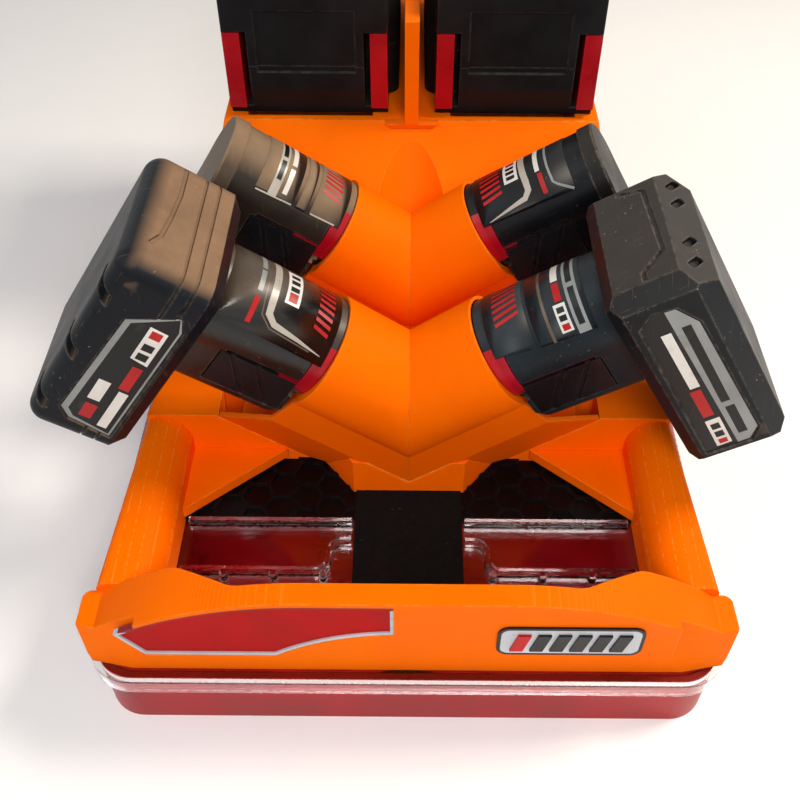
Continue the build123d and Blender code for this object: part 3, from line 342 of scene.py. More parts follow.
def pack_reach(tree, pack, along):
    """Distance in millimetres in a stem pack's frame, along its v or its s."""
    home = pack_point(pack, 0, 0, 0)
    way = (pack_point(pack, 0, *along) - home) / MM
    dot = add_node(tree, "ShaderNodeVectorMath", operation="DOT_PRODUCT")
    tree.links.new(object_place(tree), dot.inputs[0])
    dot.inputs[1].default_value = way / MM
    return calc(tree, "SUBTRACT", dot.outputs["Value"], home.dot(way) / MM)


def pad_zone(pack):
    """Mask of the black grip pad on a stem pack's latch, and of the strip above it past its red end."""
    def mask(tree):
        rise = pack_reach(tree, pack, (1, 0))
        reach = pack_reach(tree, pack, (0, 1))
        end = STRIP_RED_END[pack]
        top = remap(tree, reach, end, end + STRIP_STEP, PAD_TOP, STRIP_TOP)
        return calc(tree, "MULTIPLY", calc(tree, "LESS_THAN", rise, top), calc(tree, "GREATER_THAN", reach, PAD_START))
    return mask, srgb(13, 15, 18), srgb(20, 23, 26)


def bezel_top_shade_zone():
    """Mask of the bezel's arched upper edge, which is painted dark red as a painted shade where the plate's recess
    hides the bezel.
    """
    def mask(tree):
        split = add_node(tree, "ShaderNodeSeparateXYZ")
        tree.links.new(object_place(tree), split.inputs[0])
        line = calc(tree, "MULTIPLY", calc(tree, "SUBTRACT", split.outputs["X"], BEZEL_LEFT), BEZEL_RED_SLOPE)
        return calc(tree, "GREATER_THAN", split.outputs["Z"], calc(tree, "ADD", line, BEZEL_RED_FROM))
    return mask, srgb(120, 8, 8), srgb(150, 14, 12)


def moulded(name, dark, light, gloss, grain_scale=1500.0, wear_and_highlight=0.3, worn_and_highlit_colour=None, dust_and_sheen_amount=0.0, dust_and_sheen_colour=None,
            scuff=0.0, specks=0.0, grain_depth=0.00003, specular=0.5, soft_edge=0.0, zone=None, dust_and_sheen_end=None):
    """Moulded plastic with grain, rubbed edges that on the mat are a painted highlight, dust with a painted warm sheen,
    and scuffs; a zone has its own two colours.

    On a pack's base the dust and painted sheen fade out towards the far end.
    """
    tree, shader = new_finish(name)
    grain = place_group(tree, MOULDED_GRAIN, Scale=grain_scale)
    colour = tint(tree, remap(tree, grain["Cloud"], *CLOUD_SPAN), dark, light)
    rough = remap(tree, grain["Cloud"], *CLOUD_SPAN, gloss - GLOSS_SPREAD, gloss + GLOSS_SPREAD)
    if zone:
        mask, zone_dark, zone_light = zone
        other = tint(tree, remap(tree, grain["Cloud"], *CLOUD_SPAN), zone_dark, zone_light)
        colour = tint(tree, mask(tree), colour, other)
    if wear_and_highlight:
        wear_and_highlight_mask = place_group(tree, EDGE_WEAR_AND_HIGHLIGHT, Amount=wear_and_highlight)
        # Edges tinted the worn colour: real wear, and on the mat a painted highlight
        colour = tint(tree, wear_and_highlight_mask["Wear"], colour, worn_and_highlit_colour or light)
    if dust_and_sheen_amount or specks:
        film = place_group(tree, DUST_AND_SHEEN, Amount=dust_and_sheen_amount, Specks=specks)
        dust_and_sheen_film = film["Dust"]
        if dust_and_sheen_end:
            fade = remap(tree, pack_reach(tree, dust_and_sheen_end, (0, 1)), *DUST_AND_SHEEN_FADE, 1.0, 0.0)
            dust_and_sheen_film = calc(tree, "MULTIPLY", dust_and_sheen_film, fade)
        # Upward faces tinted brown: settled dust and a painted warm sheen
        colour = tint(tree, dust_and_sheen_film, colour, dust_and_sheen_colour or light)
        colour = tint(tree, film["Speck"], colour, srgb(178, 166, 150))
        rough = calc(tree, "ADD", rough, calc(tree, "MULTIPLY", dust_and_sheen_film, DUST_ROUGHENING), clamp=True)
    if scuff:
        marks = place_group(tree, SCUFFS, Amount=scuff)
        colour = tint(tree, marks["Scuff"], colour, dust_and_sheen_colour or light)
    tree.links.new(colour, shader.inputs["Base Color"])
    tree.links.new(rough, shader.inputs["Roughness"])
    shader.inputs["Specular IOR Level"].default_value = specular
    relief(tree, shader, grain["Height"], grain_depth, strength=0.7, soft_edge=soft_edge)


def clear_moulding():
    """Clear lid with faint flow marks and a few hairline scuffs."""
    tree, shader = new_finish("lid_clear")
    marks = place_group(tree, SCUFFS, Amount=0.35)
    flow = mottle(tree, scale=30.0, detail=2.0)
    tree.links.new(tint(tree, marks["Scuff"], (0.96, 0.97, 0.98), (0.86, 0.88, 0.9)), shader.inputs["Base Color"])
    rim = place_group(tree, EDGE_WEAR_AND_HIGHLIGHT, Reach=0.0012, Amount=0.6)
    haze = calc(tree, "ADD", remap(tree, flow, *CLOUD_SPAN, 0.02, 0.06), calc(tree, "MULTIPLY", marks["Scuff"], 0.2))
    haze = calc(tree, "ADD", haze, rim["Wear"])
    tree.links.new(haze, shader.inputs["Roughness"])
    shader.inputs["Transmission Weight"].default_value = 1.0
    shader.inputs["IOR"].default_value = 1.49
    path = add_node(tree, "ShaderNodeLightPath")
    tree.links.new(remap(tree, path.outputs["Is Shadow Ray"], 0.0, 1.0, 1.0, 0.1), shader.inputs["Alpha"])
    relief(tree, shader, flow, depth=0.0002, strength=0.25)


def black_felt():
    """Black needled felt with pale lint."""
    tree, shader = new_finish("tongue_felt")
    fibre = mottle(tree, scale=1400.0, detail=4.0, roughness=0.75, stretch=(1, 1.6, 1))
    clump = mottle(tree, scale=320.0, detail=3.0)
    colour = tint(tree, remap(tree, fibre, 0.45, 0.7), srgb(5, 4, 3), srgb(20, 17, 14))
    film = place_group(tree, DUST_AND_SHEEN, Amount=0.03, Specks=0.5)
    tree.links.new(tint(tree, film["Speck"], colour, srgb(96, 88, 80)), shader.inputs["Base Color"])
    tree.links.new(remap(tree, clump, *CLOUD_SPAN, 0.86, 0.98), shader.inputs["Roughness"])
    shader.inputs["Specular IOR Level"].default_value = 0.15
    relief(tree, shader, calc(tree, "ADD", fibre, clump), depth=0.0006, strength=0.9)


printed_orange("print_orange", lines=0.06)
printed_orange("bumper_orange", lines=0.3)
printed_orange("rail_orange", lines=0.0, seam=0.3)
clear_moulding()
black_felt()
moulded("tray_red", srgb(140, 8, 16), srgb(166, 14, 22), 0.34, specular=0.3)
moulded("bin_red", srgb(134, 4, 10), srgb(160, 9, 16), 0.3, specular=0.3)
# The mat's grey edge tint is a painted highlight on the honeycomb ridges
moulded("mat_black", srgb(3, 3, 4), srgb(7, 7, 8), 0.36, grain_scale=1100.0, wear_and_highlight=0.35, worn_and_highlit_colour=srgb(58, 58, 60),
        specular=0.15)
moulded("plate_red", srgb(158, 10, 10), srgb(178, 16, 14), 0.42, grain_scale=TRIM_GRAIN, wear_and_highlight=0.2, specular=0.06)
moulded("badge_silver", srgb(176, 180, 188), srgb(206, 210, 216), 0.32, grain_scale=TRIM_GRAIN)
moulded("bezel_silver", srgb(170, 174, 182), srgb(200, 204, 210), 0.32, grain_scale=TRIM_GRAIN, wear_and_highlight=0.0, specular=0.2,
        zone=bezel_top_shade_zone())
moulded("badge_dark", srgb(12, 12, 14), srgb(20, 20, 22), 0.38, grain_scale=TRIM_GRAIN, specular=0.3)
moulded("badge_red", srgb(176, 10, 14), srgb(194, 16, 18), 0.38, grain_scale=TRIM_GRAIN, specular=0.2)
moulded("button_red", srgb(150, 6, 20), srgb(176, 12, 26), 0.3, wear_and_highlight=0.2, worn_and_highlit_colour=srgb(210, 60, 70), specular=0.3)
# Shell tints are partly painted light: the left packs' warm brown is painted warm light, the right packs' blue-black
# painted cool light; the brown on upward faces is dust and a painted warm sheen
SHELL_LOOKS = {
    "front_left": dict(dark=srgb(14, 13, 12), light=srgb(22, 20, 18), gloss=0.28, worn_and_highlit_colour=srgb(150, 128, 100), dust_and_sheen_amount=0.45,
                       dust_and_sheen_colour=srgb(112, 92, 72), scuff=0.12, specks=0.6, specular=0.45),
    "rear_left": dict(dark=srgb(30, 26, 22), light=srgb(44, 38, 32), gloss=0.4, worn_and_highlit_colour=srgb(160, 138, 110), dust_and_sheen_amount=1.0,
                      dust_and_sheen_colour=srgb(150, 124, 98), scuff=0.15, specks=0.1, specular=0.15),
    "front_right": dict(dark=srgb(17, 24, 29), light=srgb(27, 36, 42), gloss=0.36, worn_and_highlit_colour=srgb(104, 112, 114), dust_and_sheen_amount=0.22,
                        dust_and_sheen_colour=srgb(84, 86, 86), scuff=0.12, specks=0.3, specular=0.15),
    "rear_right": dict(dark=srgb(10, 12, 15), light=srgb(17, 20, 24), gloss=0.34, worn_and_highlit_colour=srgb(110, 108, 104), dust_and_sheen_amount=0.12,
                       dust_and_sheen_colour=srgb(70, 68, 66), scuff=0.12, specks=0.2, specular=0.15),
}
for pack, look in SHELL_LOOKS.items():
    moulded(f"shell_{pack}", wear_and_highlight=0.4, soft_edge=0.0007, **look)
    moulded(f"wrap_{pack}", wear_and_highlight=0.0, **look)
# Base tints are partly painted light: the blue-black fronts are painted cool light, the rear left base's brown is dust
# colour and painted warm light; the brown on upward faces is dust and a painted warm sheen
BASE_LOOKS = {
    "front_left": dict(dark=srgb(11, 14, 19), light=srgb(18, 22, 28), wear_and_highlight=0.6, worn_and_highlit_colour=srgb(130, 118, 104), dust_and_sheen_amount=1.0,
                       dust_and_sheen_colour=srgb(150, 118, 91), scuff=0.2, specks=0.3, dust_and_sheen_end="front_left"),
    "rear_left": dict(dark=srgb(64, 54, 44), light=srgb(84, 70, 56), wear_and_highlight=0.6, worn_and_highlit_colour=srgb(150, 132, 110), dust_and_sheen_amount=1.0,
                      dust_and_sheen_colour=srgb(148, 120, 94), scuff=0.2, specks=0.2),
    "front_right": dict(dark=srgb(15, 18, 22), light=srgb(24, 28, 32), wear_and_highlight=0.7, worn_and_highlit_colour=srgb(140, 130, 116), dust_and_sheen_amount=0.28,
                        dust_and_sheen_colour=srgb(108, 98, 86), scuff=0.25, specks=0.6),
    "rear_right": dict(dark=srgb(22, 21, 20), light=srgb(32, 31, 29), wear_and_highlight=0.9, worn_and_highlit_colour=srgb(170, 152, 130), dust_and_sheen_amount=0.3,
                       dust_and_sheen_colour=srgb(80, 74, 66), scuff=0.2, specks=0.3),
}
for pack, look in BASE_LOOKS.items():
    moulded(f"base_{pack}", gloss=0.42, grain_depth=0.00006, specular=0.12, soft_edge=0.0009, **look)
moulded("slide_pack_shell", srgb(16, 16, 17), srgb(26, 26, 27), 0.44, wear_and_highlight=0.4, worn_and_highlit_colour=srgb(96, 92, 88),
        dust_and_sheen_amount=0.2, dust_and_sheen_colour=srgb(80, 76, 72), specular=0.12, soft_edge=0.0009)
LABEL_LOOKS = {
    "white": dict(dark=srgb(206, 204, 198), light=srgb(228, 226, 220), gloss=0.36, scuff=0.25,
                  dust_and_sheen_colour=srgb(150, 140, 128)),
    "silver": dict(dark=srgb(158, 152, 142), light=srgb(186, 180, 168), gloss=0.3, scuff=0.25,
                   dust_and_sheen_colour=srgb(110, 102, 92)),
    "grey": dict(dark=srgb(120, 124, 124), light=srgb(146, 150, 148), gloss=0.36, scuff=0.25, dust_and_sheen_colour=srgb(90, 86, 80)),
    "bronze": dict(dark=srgb(72, 60, 46), light=srgb(98, 80, 60), gloss=0.34, scuff=0.2, dust_and_sheen_colour=srgb(60, 52, 44)),
    "red": dict(dark=srgb(160, 18, 20), light=srgb(184, 28, 26), gloss=0.36, scuff=0.2, dust_and_sheen_colour=srgb(110, 34, 30),
                specular=0.25),
    "black": dict(dark=srgb(9, 9, 10), light=srgb(16, 16, 17), gloss=0.3, scuff=0.3, dust_and_sheen_colour=srgb(60, 58, 56),
                  specular=0.25),
}
for tone, look in LABEL_LOOKS.items():
    moulded(f"label_{tone}", wear_and_highlight=0.0, **look)
for pack in PACK_SEATS:
    moulded(f"latch_{pack}", srgb(140, 6, 26), srgb(164, 10, 34), 0.3, wear_and_highlight=0.2, worn_and_highlit_colour=srgb(96, 80, 80), specular=0.25,
            zone=pad_zone(pack))

NODE_FINISH = {
    "front_bumper": "bumper_orange", "rail_left": "rail_orange", "rail_right": "rail_orange",
    "bin_tray": "tray_red", "clear_lid": "lid_clear", "honeycomb_mat": "mat_black", "mat_tongue": "tongue_felt",
    "name_plate": "plate_red", "plate_bezel": "bezel_silver", "badge_rim": "badge_dark",
    "badge_plate": "badge_silver", "charge_bar_low": "badge_red", "charge_bars": "badge_dark",
}
for name in nodes:
    if name.startswith("bin_") and name != "bin_tray":
        NODE_FINISH[name] = "bin_red"
    elif "_latch_" in name:
        NODE_FINISH[name] = "latch_" + name[len("pack_"):name.index("_latch_")]
    elif "button" in name:
        NODE_FINISH[name] = "button_red"
    elif name.startswith("pack_"):
        _, row, side, form = name.split("_")
        NODE_FINISH[name] = f"{form}_{row}_{side}"
    elif name.startswith("slide_pack"):
        NODE_FINISH[name] = "slide_pack_shell"
    NODE_FINISH.setdefault(name, "print_orange")


def dress(thing, finish):
    """Give a piece one finish all over."""
    thing.data.materials.clear()
    thing.data.materials.append(FINISHES[finish])


for name, thing in nodes.items():
    dress(thing, NODE_FINISH[name])


# Pieces
def keep_piece(name, build, finish, body):
    """Turn a finished bmesh into a piece that rides on a body."""
    mesh = bpy.data.meshes.new(name)
    build.to_mesh(mesh)
    build.free()
    piece = bpy.data.objects.new(name, mesh)
    bpy.context.scene.collection.objects.link(piece)
    dress(piece, finish)
    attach(piece, body)
    return piece


def flat_patches(outlines, step, place, inside):
    """Flat outlines cut into strips, then laid onto a surface and turned to face out from it."""
    build = bmesh.new()
    for outline in outlines:
        build.faces.new([build.verts.new((*corner, 0.0)) for corner in outline])
    bmesh.ops.triangulate(build, faces=build.faces[:])
    reach = [vert.co.x for vert in build.verts]
    for count in range(1, math.ceil((max(reach) - min(reach)) / step)):
        cut = build.verts[:] + build.edges[:] + build.faces[:]
        bmesh.ops.bisect_plane(build, geom=cut, plane_co=(min(reach) + count * step, 0, 0), plane_no=(1, 0, 0))
    for vert in build.verts:
        vert.co = place(vert.co.x, vert.co.y)
    build.normal_update()
    inward = [f for f in build.faces if f.normal.dot(f.calc_center_median() - inside) < 0]
    bmesh.ops.reverse_faces(build, faces=inward)
    return build


def box_at(start, end, low, high):
    """One plain box in a list of outlines."""
    return [[(start, low), (end, low), (end, high), (start, high)]]


def bars_at(start, end, low, high, count, fill=0.6, slant=0.0):
    """A row of plain bars side by side between two ends."""
    pitch = (end - start - slant) / count
    outlines = []
    for number in range(count):
        near = start + number * pitch
        far = near + pitch * fill
        outlines.append([(near, low), (far, low), (far + slant, high), (near + slant, high)])
    return outlines


def band_along(points, widths, scale=1.0):
    """A band of changing width along a bent line; scale turns its first direction into millimetres."""
    line = [Vector((a * scale, b)) for a, b in points]
    left, right = [], []
    for number, (here, width) in enumerate(zip(line, widths)):
        before = line[max(number - 1, 0)]
        after = line[min(number + 1, len(line) - 1)]
        way = (after - before).normalized()
        side = Vector((-way.y, way.x)) * width / 2
        left.append(((here.x + side.x) / scale, here.y + side.y))
        right.append(((here.x - side.x) / scale, here.y - side.y))
    return [[left[i], left[i + 1], right[i + 1], right[i]] for i in range(len(line) - 1)]


# Millimetres round a barrel for each degree
DEGREE_RUN = BARREL_RADIUS * math.radians(1.0)


def on_barrel(pack, name, outlines, finish, radius):
    """Smooth piece laid round a stem pack's barrel; outlines are in degrees round and millimetres along."""
    middle = sum(s for _, s in outlines[0]) / len(outlines[0])

    def place(turn, s):
        angle = math.radians(turn)
        return pack_point(pack, radius * math.cos(angle), radius * math.sin(angle), s)

    build = flat_patches(outlines, BARREL_STEP, place, pack_point(pack, 0, 0, middle))
    piece = keep_piece(f"{pack}_{name}", build, finish, f"pack_{pack}")
    for face in piece.data.polygons:
        face.use_smooth = True
    return piece


def barrel_wrap(pack, name, outlines, finish):
    """Thin label sleeve wrapped on a stem pack's barrel."""
    thick = on_barrel(pack, name, outlines, finish, BARREL_RADIUS).modifiers.new("thickness", "SOLIDIFY")
    thick.thickness = WRAP_THICKNESS * MM
    thick.offset = 1.0


def barrel_print(pack, name, outlines, finish, layer=1):
    """Printed marks on a stem pack's label sleeve."""
    on_barrel(pack, name, outlines, finish, BARREL_RADIUS + WRAP_THICKNESS + layer * PRINT_LIFT)


def panel_print(pack, name, outlines, finish, layer):
    """Printed marks on the front panel of a tall base; outlines are (v, s)."""
    def place(v, s):
        return pack_point(pack, BASE_PANEL_FACE + layer * PRINT_LIFT, v, s)

    v, s = outlines[0][0]
    build = flat_patches(outlines, PANEL_STEP, place, pack_point(pack, 0, v, s))
    keep_piece(f"{pack}_{name}", build, finish, f"pack_{pack}")


def sleeve(near_edge, start, far_edge, end):
    """Outline of a label sleeve, from its front edge round to its rear one."""
    return [(near_edge, start), (far_edge, end), (WRAP_REAR, end), (WRAP_REAR, start)]


def line_on(points, width):
    """A line of one width on a barrel."""
    return band_along(points, [width] * len(points), DEGREE_RUN)


def label_front_left():
    """Label of the front left pack: kinked silver stripe, box and bars, and the tall base's framed panel."""
    pack = "front_left"
    barrel_wrap(pack, "wrap", [sleeve(21, WRAP_START, 26, 92.5)], "wrap_front_left")
    kink = [(125, 74.3), (94, 74.3), (74, 74.3), (60, 74.2), (48.3, 73.8), (40.6, 70.5), (36.6, 60.2), (31, 49.2)]
    barrel_print(pack, "stripe", band_along(kink, (2.9, 2.9, 2.9, 2.9, 2.8, 2.4, 1.5, 0.3), DEGREE_RUN), "label_silver")
    edge = [(125, 77), (80, 77.7), (60, 77.3), (45, 76.3), (35, 71.5), (30.6, 53.8)]
    barrel_print(pack, "edge_line", line_on(edge, 0.6), "label_bronze")
    barrel_print(pack, "box", box_at(66, 115, 64, 70), "label_white")
    barrel_print(pack, "box_bars", bars_at(82, 112, 65.2, 68.8, 3, 0.62), "label_black", 2)
    barrel_print(pack, "box_low_bar", box_at(69, 80, 65.2, 68.8), "label_red", 2)
    barrel_print(pack, "bars", box_at(66, 92, 79.2, 81.2) + box_at(95, 125, 79.2, 81.2), "label_grey")
    barrel_print(pack, "low_bars", bars_at(50, 122, 49.6, 56.2, 8, 0.5, 5.0) + box_at(32, 60, 79.2, 81.2), "label_red")
    outer = [(12.0, 103.6), (1.3, 119.9), (-54.0, 122.8), (-58.4, 118.2), (-60.4, 101.2), (5.6, 100.8)]
    inner = [(11.2, 103.7), (0.4, 117.7), (-53.4, 120.2), (-56.9, 117.1), (-59.5, 102.0), (5.2, 101.6)]
    panel_print(pack, "panel", [outer], "label_black", 1)
    count = len(outer)
    ring = [[outer[i], outer[(i + 1) % count], inner[(i + 1) % count], inner[i]] for i in range(count)]
    panel_print(pack, "panel_border", ring, "label_grey", 2)
    panel_print(pack, "panel_box", [[(2.6, 111.1), (2.2, 104.2), (-16.8, 104.2), (-15.6, 111.2)]], "label_white", 2)
    panel_print(pack, "panel_box_bars", bars_at(-15.0, -4.4, 105.6, 109.8, 2, 0.7), "label_black", 3)
    red = box_at(-2.8, 1.2, 105.6, 109.8) + box_at(-33.0, -19.0, 104.6, 108.6)
    red += box_at(-55.0, -46.5, 111.0, 115.8)
    panel_print(pack, "panel_low_bars", red, "label_red", 3)
    white = box_at(-57.0, -34.5, 103.8, 107.6) + box_at(-44.0, -32.0, 111.6, 116.4)
    panel_print(pack, "panel_bars", white, "label_white", 3)


def label_front_right():
    """Label of the front right pack: two bands, box and bars, and the tall base's two-tone panel."""
    pack = "front_right"
    wraps = [sleeve(33, WRAP_START, 28, 63.3), sleeve(27, 64.7, 24, 87)]
    barrel_wrap(pack, "wrap", wraps, "wrap_front_right")
    barrel_print(pack, "band", box_at(25.5, 130, 80.2, 85), "label_grey")
    barrel_print(pack, "band_bars", box_at(34, 74, 81.4, 83.8) + box_at(80, 124, 81.4, 83.8), "label_black", 2)
    barrel_print(pack, "line", box_at(26, 130, 69.9, 71.1), "label_bronze")
    barrel_print(pack, "box", box_at(31.5, 61, 74.3, 79) + box_at(88, 130, 75.6, 78.4), "label_white")
    barrel_print(pack, "box_bars", bars_at(43, 60, 75.2, 78.1, 2, 0.7), "label_black", 2)
    red = bars_at(62, 124, 51, 61, 7, 0.5, 6.0) + box_at(63.5, 85, 75.6, 78.4) + box_at(33.5, 40, 75.2, 78.1)
    barrel_print(pack, "low_bars", red, "label_red", 2)
    ground = [(11.4, 102.7), (16.7, 108.6), (15.3, 116.4), (5.6, 121.8), (-57.6, 123.3), (-63.2, 118.6), (-63.2, 101.7)]
    panel_print(pack, "panel", [ground], "label_black", 1)
    band = [(15.6, 112.4), (15.2, 116.3), (5.6, 121.6), (-57.5, 123.1), (-63.0, 118.5), (-63.0, 113.8)]
    panel_print(pack, "panel_band", [band], "label_grey", 2)
    panel_print(pack, "panel_band_bars", box_at(-38.0, 6.0, 115.2, 118.6) + box_at(-58.0, -41.0, 115.6, 119.2),
                "label_black", 3)
    panel_print(pack, "panel_box", [[(-45.4, 106.3), (-45.3, 112.1), (-61.4, 112.0), (-61.6, 106.0)]], "label_white", 2)
    panel_print(pack, "panel_box_bars", bars_at(-56.4, -46.6, 107.4, 110.8, 2, 0.7), "label_black", 3)
    red = box_at(-60.6, -57.8, 107.4, 110.8) + box_at(-43.0, -27.0, 106.6, 110.8)
    panel_print(pack, "panel_low_bars", red, "label_red", 3)
    panel_print(pack, "panel_bars", box_at(-25.5, 5.5, 107.4, 111.2), "label_white", 3)


def label_rear_left():
    """Label of the rear left pack: ringed barrel with a pale band and bars."""
    pack = "rear_left"
    wraps = [sleeve(22, WRAP_START, 21.2, 61.2), sleeve(21, 63.0, 20.4, 67.6), sleeve(19.9, 69.4, 17.8, 87)]
    barrel_wrap(pack, "wrap", wraps, "wrap_rear_left")
    barrel_print(pack, "band", box_at(21, 130, 77.3, 81.2), "label_silver")
    barrel_print(pack, "band_bars", box_at(40, 66, 78.2, 80.3) + box_at(72, 120, 78.2, 80.3), "label_black", 2)
    barrel_print(pack, "bars", box_at(28, 60, 73.4, 75.6) + box_at(65, 125, 73.4, 75.6), "label_white")
    lines = line_on([(19.2, 86.6), (21.2, 69.8)], 0.7) + line_on([(22.3, 60.8), (23.2, 49.0)], 0.7)
    barrel_print(pack, "edge_lines", lines, "label_silver")
    barrel_print(pack, "low_bars", bars_at(48, 98, 50.6, 59.4, 6, 0.5, 5.0), "label_red")


def label_rear_right():
    """Label of the rear right pack: kinked silver stripe, box and bars."""
    pack = "rear_right"
    barrel_wrap(pack, "wrap", [sleeve(25, WRAP_START, 21.5, 89.8)], "wrap_rear_right")
    kink = [(120, 70), (90, 70.1), (68, 70.4), (55, 70.8), (43, 70.8), (35.7, 68.3), (33.8, 63.6), (27.4, 50.1)]
    barrel_print(pack, "stripe", band_along(kink, (2.9, 2.9, 2.9, 2.9, 2.8, 2.4, 1.7, 0.3), DEGREE_RUN), "label_silver")
    facet = [(110, 81.4), (60, 81.4), (40, 81.9), (35, 83.5), (23, 89.2)]
    barrel_print(pack, "edge_line", line_on(facet, 1.1), "label_grey")
    barrel_print(pack, "box", box_at(62, 105, 61.5, 68) + box_at(60, 110, 75.8, 77.9), "label_white")
    barrel_print(pack, "box_bars", bars_at(66, 92, 62.8, 66.7, 3, 0.62), "label_black", 2)
    red = bars_at(48, 112, 50.2, 59.6, 7, 0.5, 5.0) + box_at(31, 57, 76.4, 78.5) + box_at(93, 102, 62.8, 66.7)
    barrel_print(pack, "low_bars", red, "label_red", 2)


def mouth_lip(pack, name, start, end, radius, finish, body):
    """Thin collar that closes the gap between a stem pack's barrel and the socket's mouth."""
    _, _, roll, sag = PACK_SEATS[pack]
    lean = math.radians(sag)
    turns = [start + (end - start) * i / LIP_STEPS for i in range(LIP_STEPS + 1)]
    low = []
    for turn in turns:
        rise = radius * math.sin(math.radians(turn + roll))
        low.append(SAG_PIVOT + (MOUTH_CLEAR - SAG_PIVOT - rise * math.sin(lean)) / math.cos(lean))
    build = bmesh.new()
    rows = []
    for turn, near in zip(turns, low):
        angle = math.radians(turn)
        u, v = radius * math.cos(angle), radius * math.sin(angle)
        rows.append([build.verts.new(pack_point(pack, u, v, s)) for s in (near, (near + LIP_END) / 2, LIP_END)])
    for first, second in zip(rows, rows[1:]):
        for i in range(2):
            build.faces.new((first[i], second[i], second[i + 1], first[i + 1])).smooth = True
    keep_piece(f"{pack}_{name}", build, finish, body)


def felt_strip():
    """Needled felt strip on the lid, with a slightly uneven face and turned-down edges."""
    low, high = (Vector(corner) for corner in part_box("mat_tongue"))
    across, along = FELT_COLUMNS, round((high.y - low.y) / FELT_PITCH)
    build = bmesh.new()
    rows = []
    for j in range(along + 1):
        row = []
        for i in range(across + 1):
            x = low.x + (high.x - low.x) * i / across
            y = low.y + (high.y - low.y) * j / along
            rise = noise.noise(Vector((x, y, 0.0)) * FELT_WAVE_SCALE)
            turn = FELT_EDGE_TURN if i in (0, across) or j in (0, along) else 0.0
            row.append(build.verts.new((x, y, high.z - (FELT_SINK - FELT_WAVE * rise) - turn)))
        rows.append(row)
    for j in range(along):
        for i in range(across):
            build.faces.new((rows[j][i], rows[j][i + 1], rows[j + 1][i + 1], rows[j + 1][i]))
    rim = rows[0] + [row[-1] for row in rows[1:]] + rows[-1][-2::-1] + [row[0] for row in rows[-2:0:-1]]
    foot = [build.verts.new((vert.co.x, vert.co.y, low.z)) for vert in rim]
    for i in range(len(rim)):
        j = (i + 1) % len(rim)
        build.faces.new((rim[i], foot[i], foot[j], rim[j]))
    for face in build.faces:
        face.smooth = True
    piece = keep_piece("felt_strip", build, "tongue_felt", "caddy")
    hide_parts("mat_tongue")


label_front_left()
label_front_right()
label_rear_left()
label_rear_right()
for pack in PACK_SEATS:
    near, far = TAB_SPAN
    inner, outer = BARREL_RADIUS - LIP_GAP, BARREL_RADIUS + LIP_GAP
    mouth_lip(pack, "lip", far, 180.0 - far, inner, f"shell_{pack}", f"pack_{pack}")
    mouth_lip(pack, "tab_skirt_a", near, far, outer, "button_red", f"pack_{pack}_latch_a")
    mouth_lip(pack, "tab_skirt_b", 180.0 - far, 180.0 - near, outer, "button_red", f"pack_{pack}_latch_b")
felt_strip()


# Studio
def studio_floor():
    """Pale level floor that shows white around the object and keeps its shadow."""
    mesh = bpy.data.meshes.new("floor")
    build = bmesh.new()
    bmesh.ops.create_grid(build, x_segments=2, y_segments=2, size=3.0)
    build.to_mesh(mesh)
    build.free()
    floor = bpy.data.objects.new("floor", mesh)
    floor.location.z = cad_box[0][2]
    bpy.context.scene.collection.objects.link(floor)
    tree, shader = new_finish("studio_floor")
    grain = place_group(tree, MOULDED_GRAIN, Scale=400.0)
    tree.links.new(tint(tree, grain["Cloud"], srgb(250, 250, 250), srgb(255, 255, 255)), shader.inputs["Base Color"])
    shader.inputs["Roughness"].default_value = 0.9
    shader.inputs["Specular IOR Level"].default_value = 0.1
    dress(floor, "studio_floor")


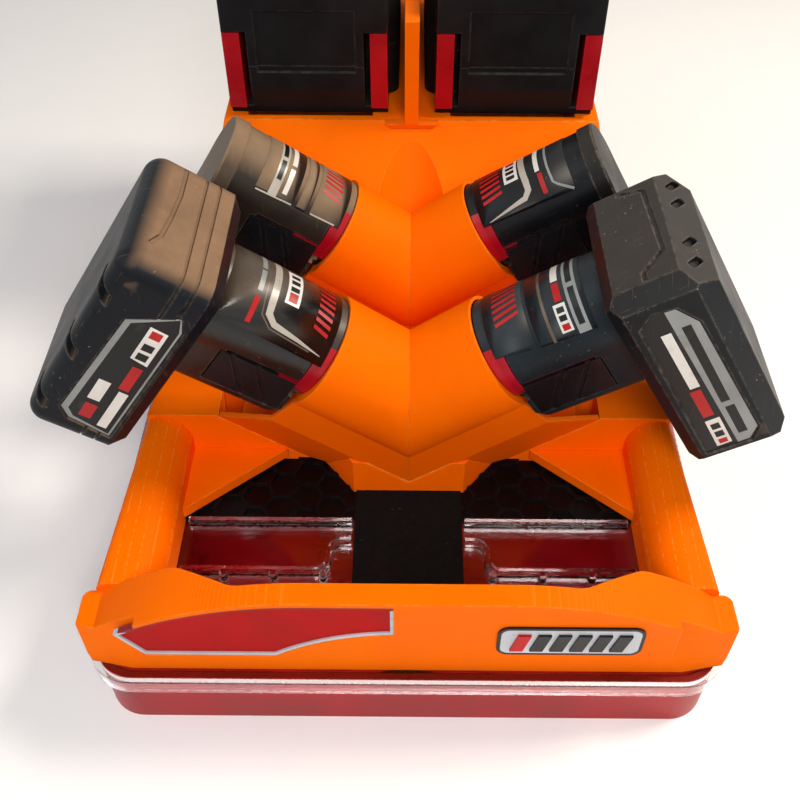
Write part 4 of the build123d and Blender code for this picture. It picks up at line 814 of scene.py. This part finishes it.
def soft_lamp(name, place, aim, size, power, colour):
    """Square soft lamp that faces a point."""
    lamp = bpy.data.lights.new(name, "AREA")
    lamp.shape = "SQUARE"
    lamp.size = size
    lamp.energy = power
    lamp.color = colour
    holder = bpy.data.objects.new(name, lamp)
    holder.location = place
    holder.rotation_euler = (Vector(aim) - Vector(place)).to_track_quat("-Z", "Y").to_euler()
    bpy.context.scene.collection.objects.link(holder)


def studio_world(level):
    """White surroundings: full white to the eye, gloss and glass, and a plain level as light."""
    world = bpy.data.worlds.new("studio")
    world.use_nodes = True
    bpy.context.scene.world = world
    tree = world.node_tree
    back = tree.nodes["Background"]
    back.inputs["Color"].default_value = (1.0, 1.0, 1.0, 1.0)
    path = add_node(tree, "ShaderNodeLightPath")
    seen = calc(tree, "MAXIMUM", path.outputs["Is Camera Ray"], path.outputs["Is Transmission Ray"])
    seen = calc(tree, "MAXIMUM", seen, path.outputs["Is Glossy Ray"])
    tree.links.new(remap(tree, seen, 0.0, 1.0, level, 1.0), back.inputs["Strength"])


studio_floor()
studio_world(level=0.22)
soft_lamp("key", place=(0.65, 0.1, 0.9), aim=(-0.02, 0.0, 0.1), size=0.3, power=8.5, colour=(1.0, 0.88, 0.74))
soft_lamp("fill", place=(-0.7, -0.3, 0.85), aim=(0, 0, 0.08), size=0.6, power=2.2, colour=(0.88, 0.94, 1.0))
soft_lamp("front", place=(0.1, -0.85, 0.8), aim=(0, -0.1, 0.05), size=0.4, power=6.5, colour=(1.0, 0.97, 0.93))

# Camera at the photograph's angle: its place in metres, how far it is tipped up from straight down, and its roll
CAMERA_PLACE = (0.0, -0.3793, 0.3869)
CAMERA_TIP = math.radians(44.7)
CAMERA_ROLL = math.radians(0.46)
lens = bpy.data.cameras.new("camera")
lens.sensor_width = 36.0
lens.lens = 45.0
lens.shift_x = -0.0119
lens.shift_y = -0.034
lens.clip_start = 0.01
eye = bpy.data.objects.new("camera", lens)
tip = Matrix.Rotation(CAMERA_TIP, 4, "X")
roll = Matrix.Rotation(CAMERA_ROLL, 4, "Z")
eye.matrix_world = Matrix.Translation(CAMERA_PLACE) @ tip @ roll
bpy.context.scene.collection.objects.link(eye)
bpy.context.scene.camera = eye
bpy.context.scene.view_settings.view_transform = "Standard"
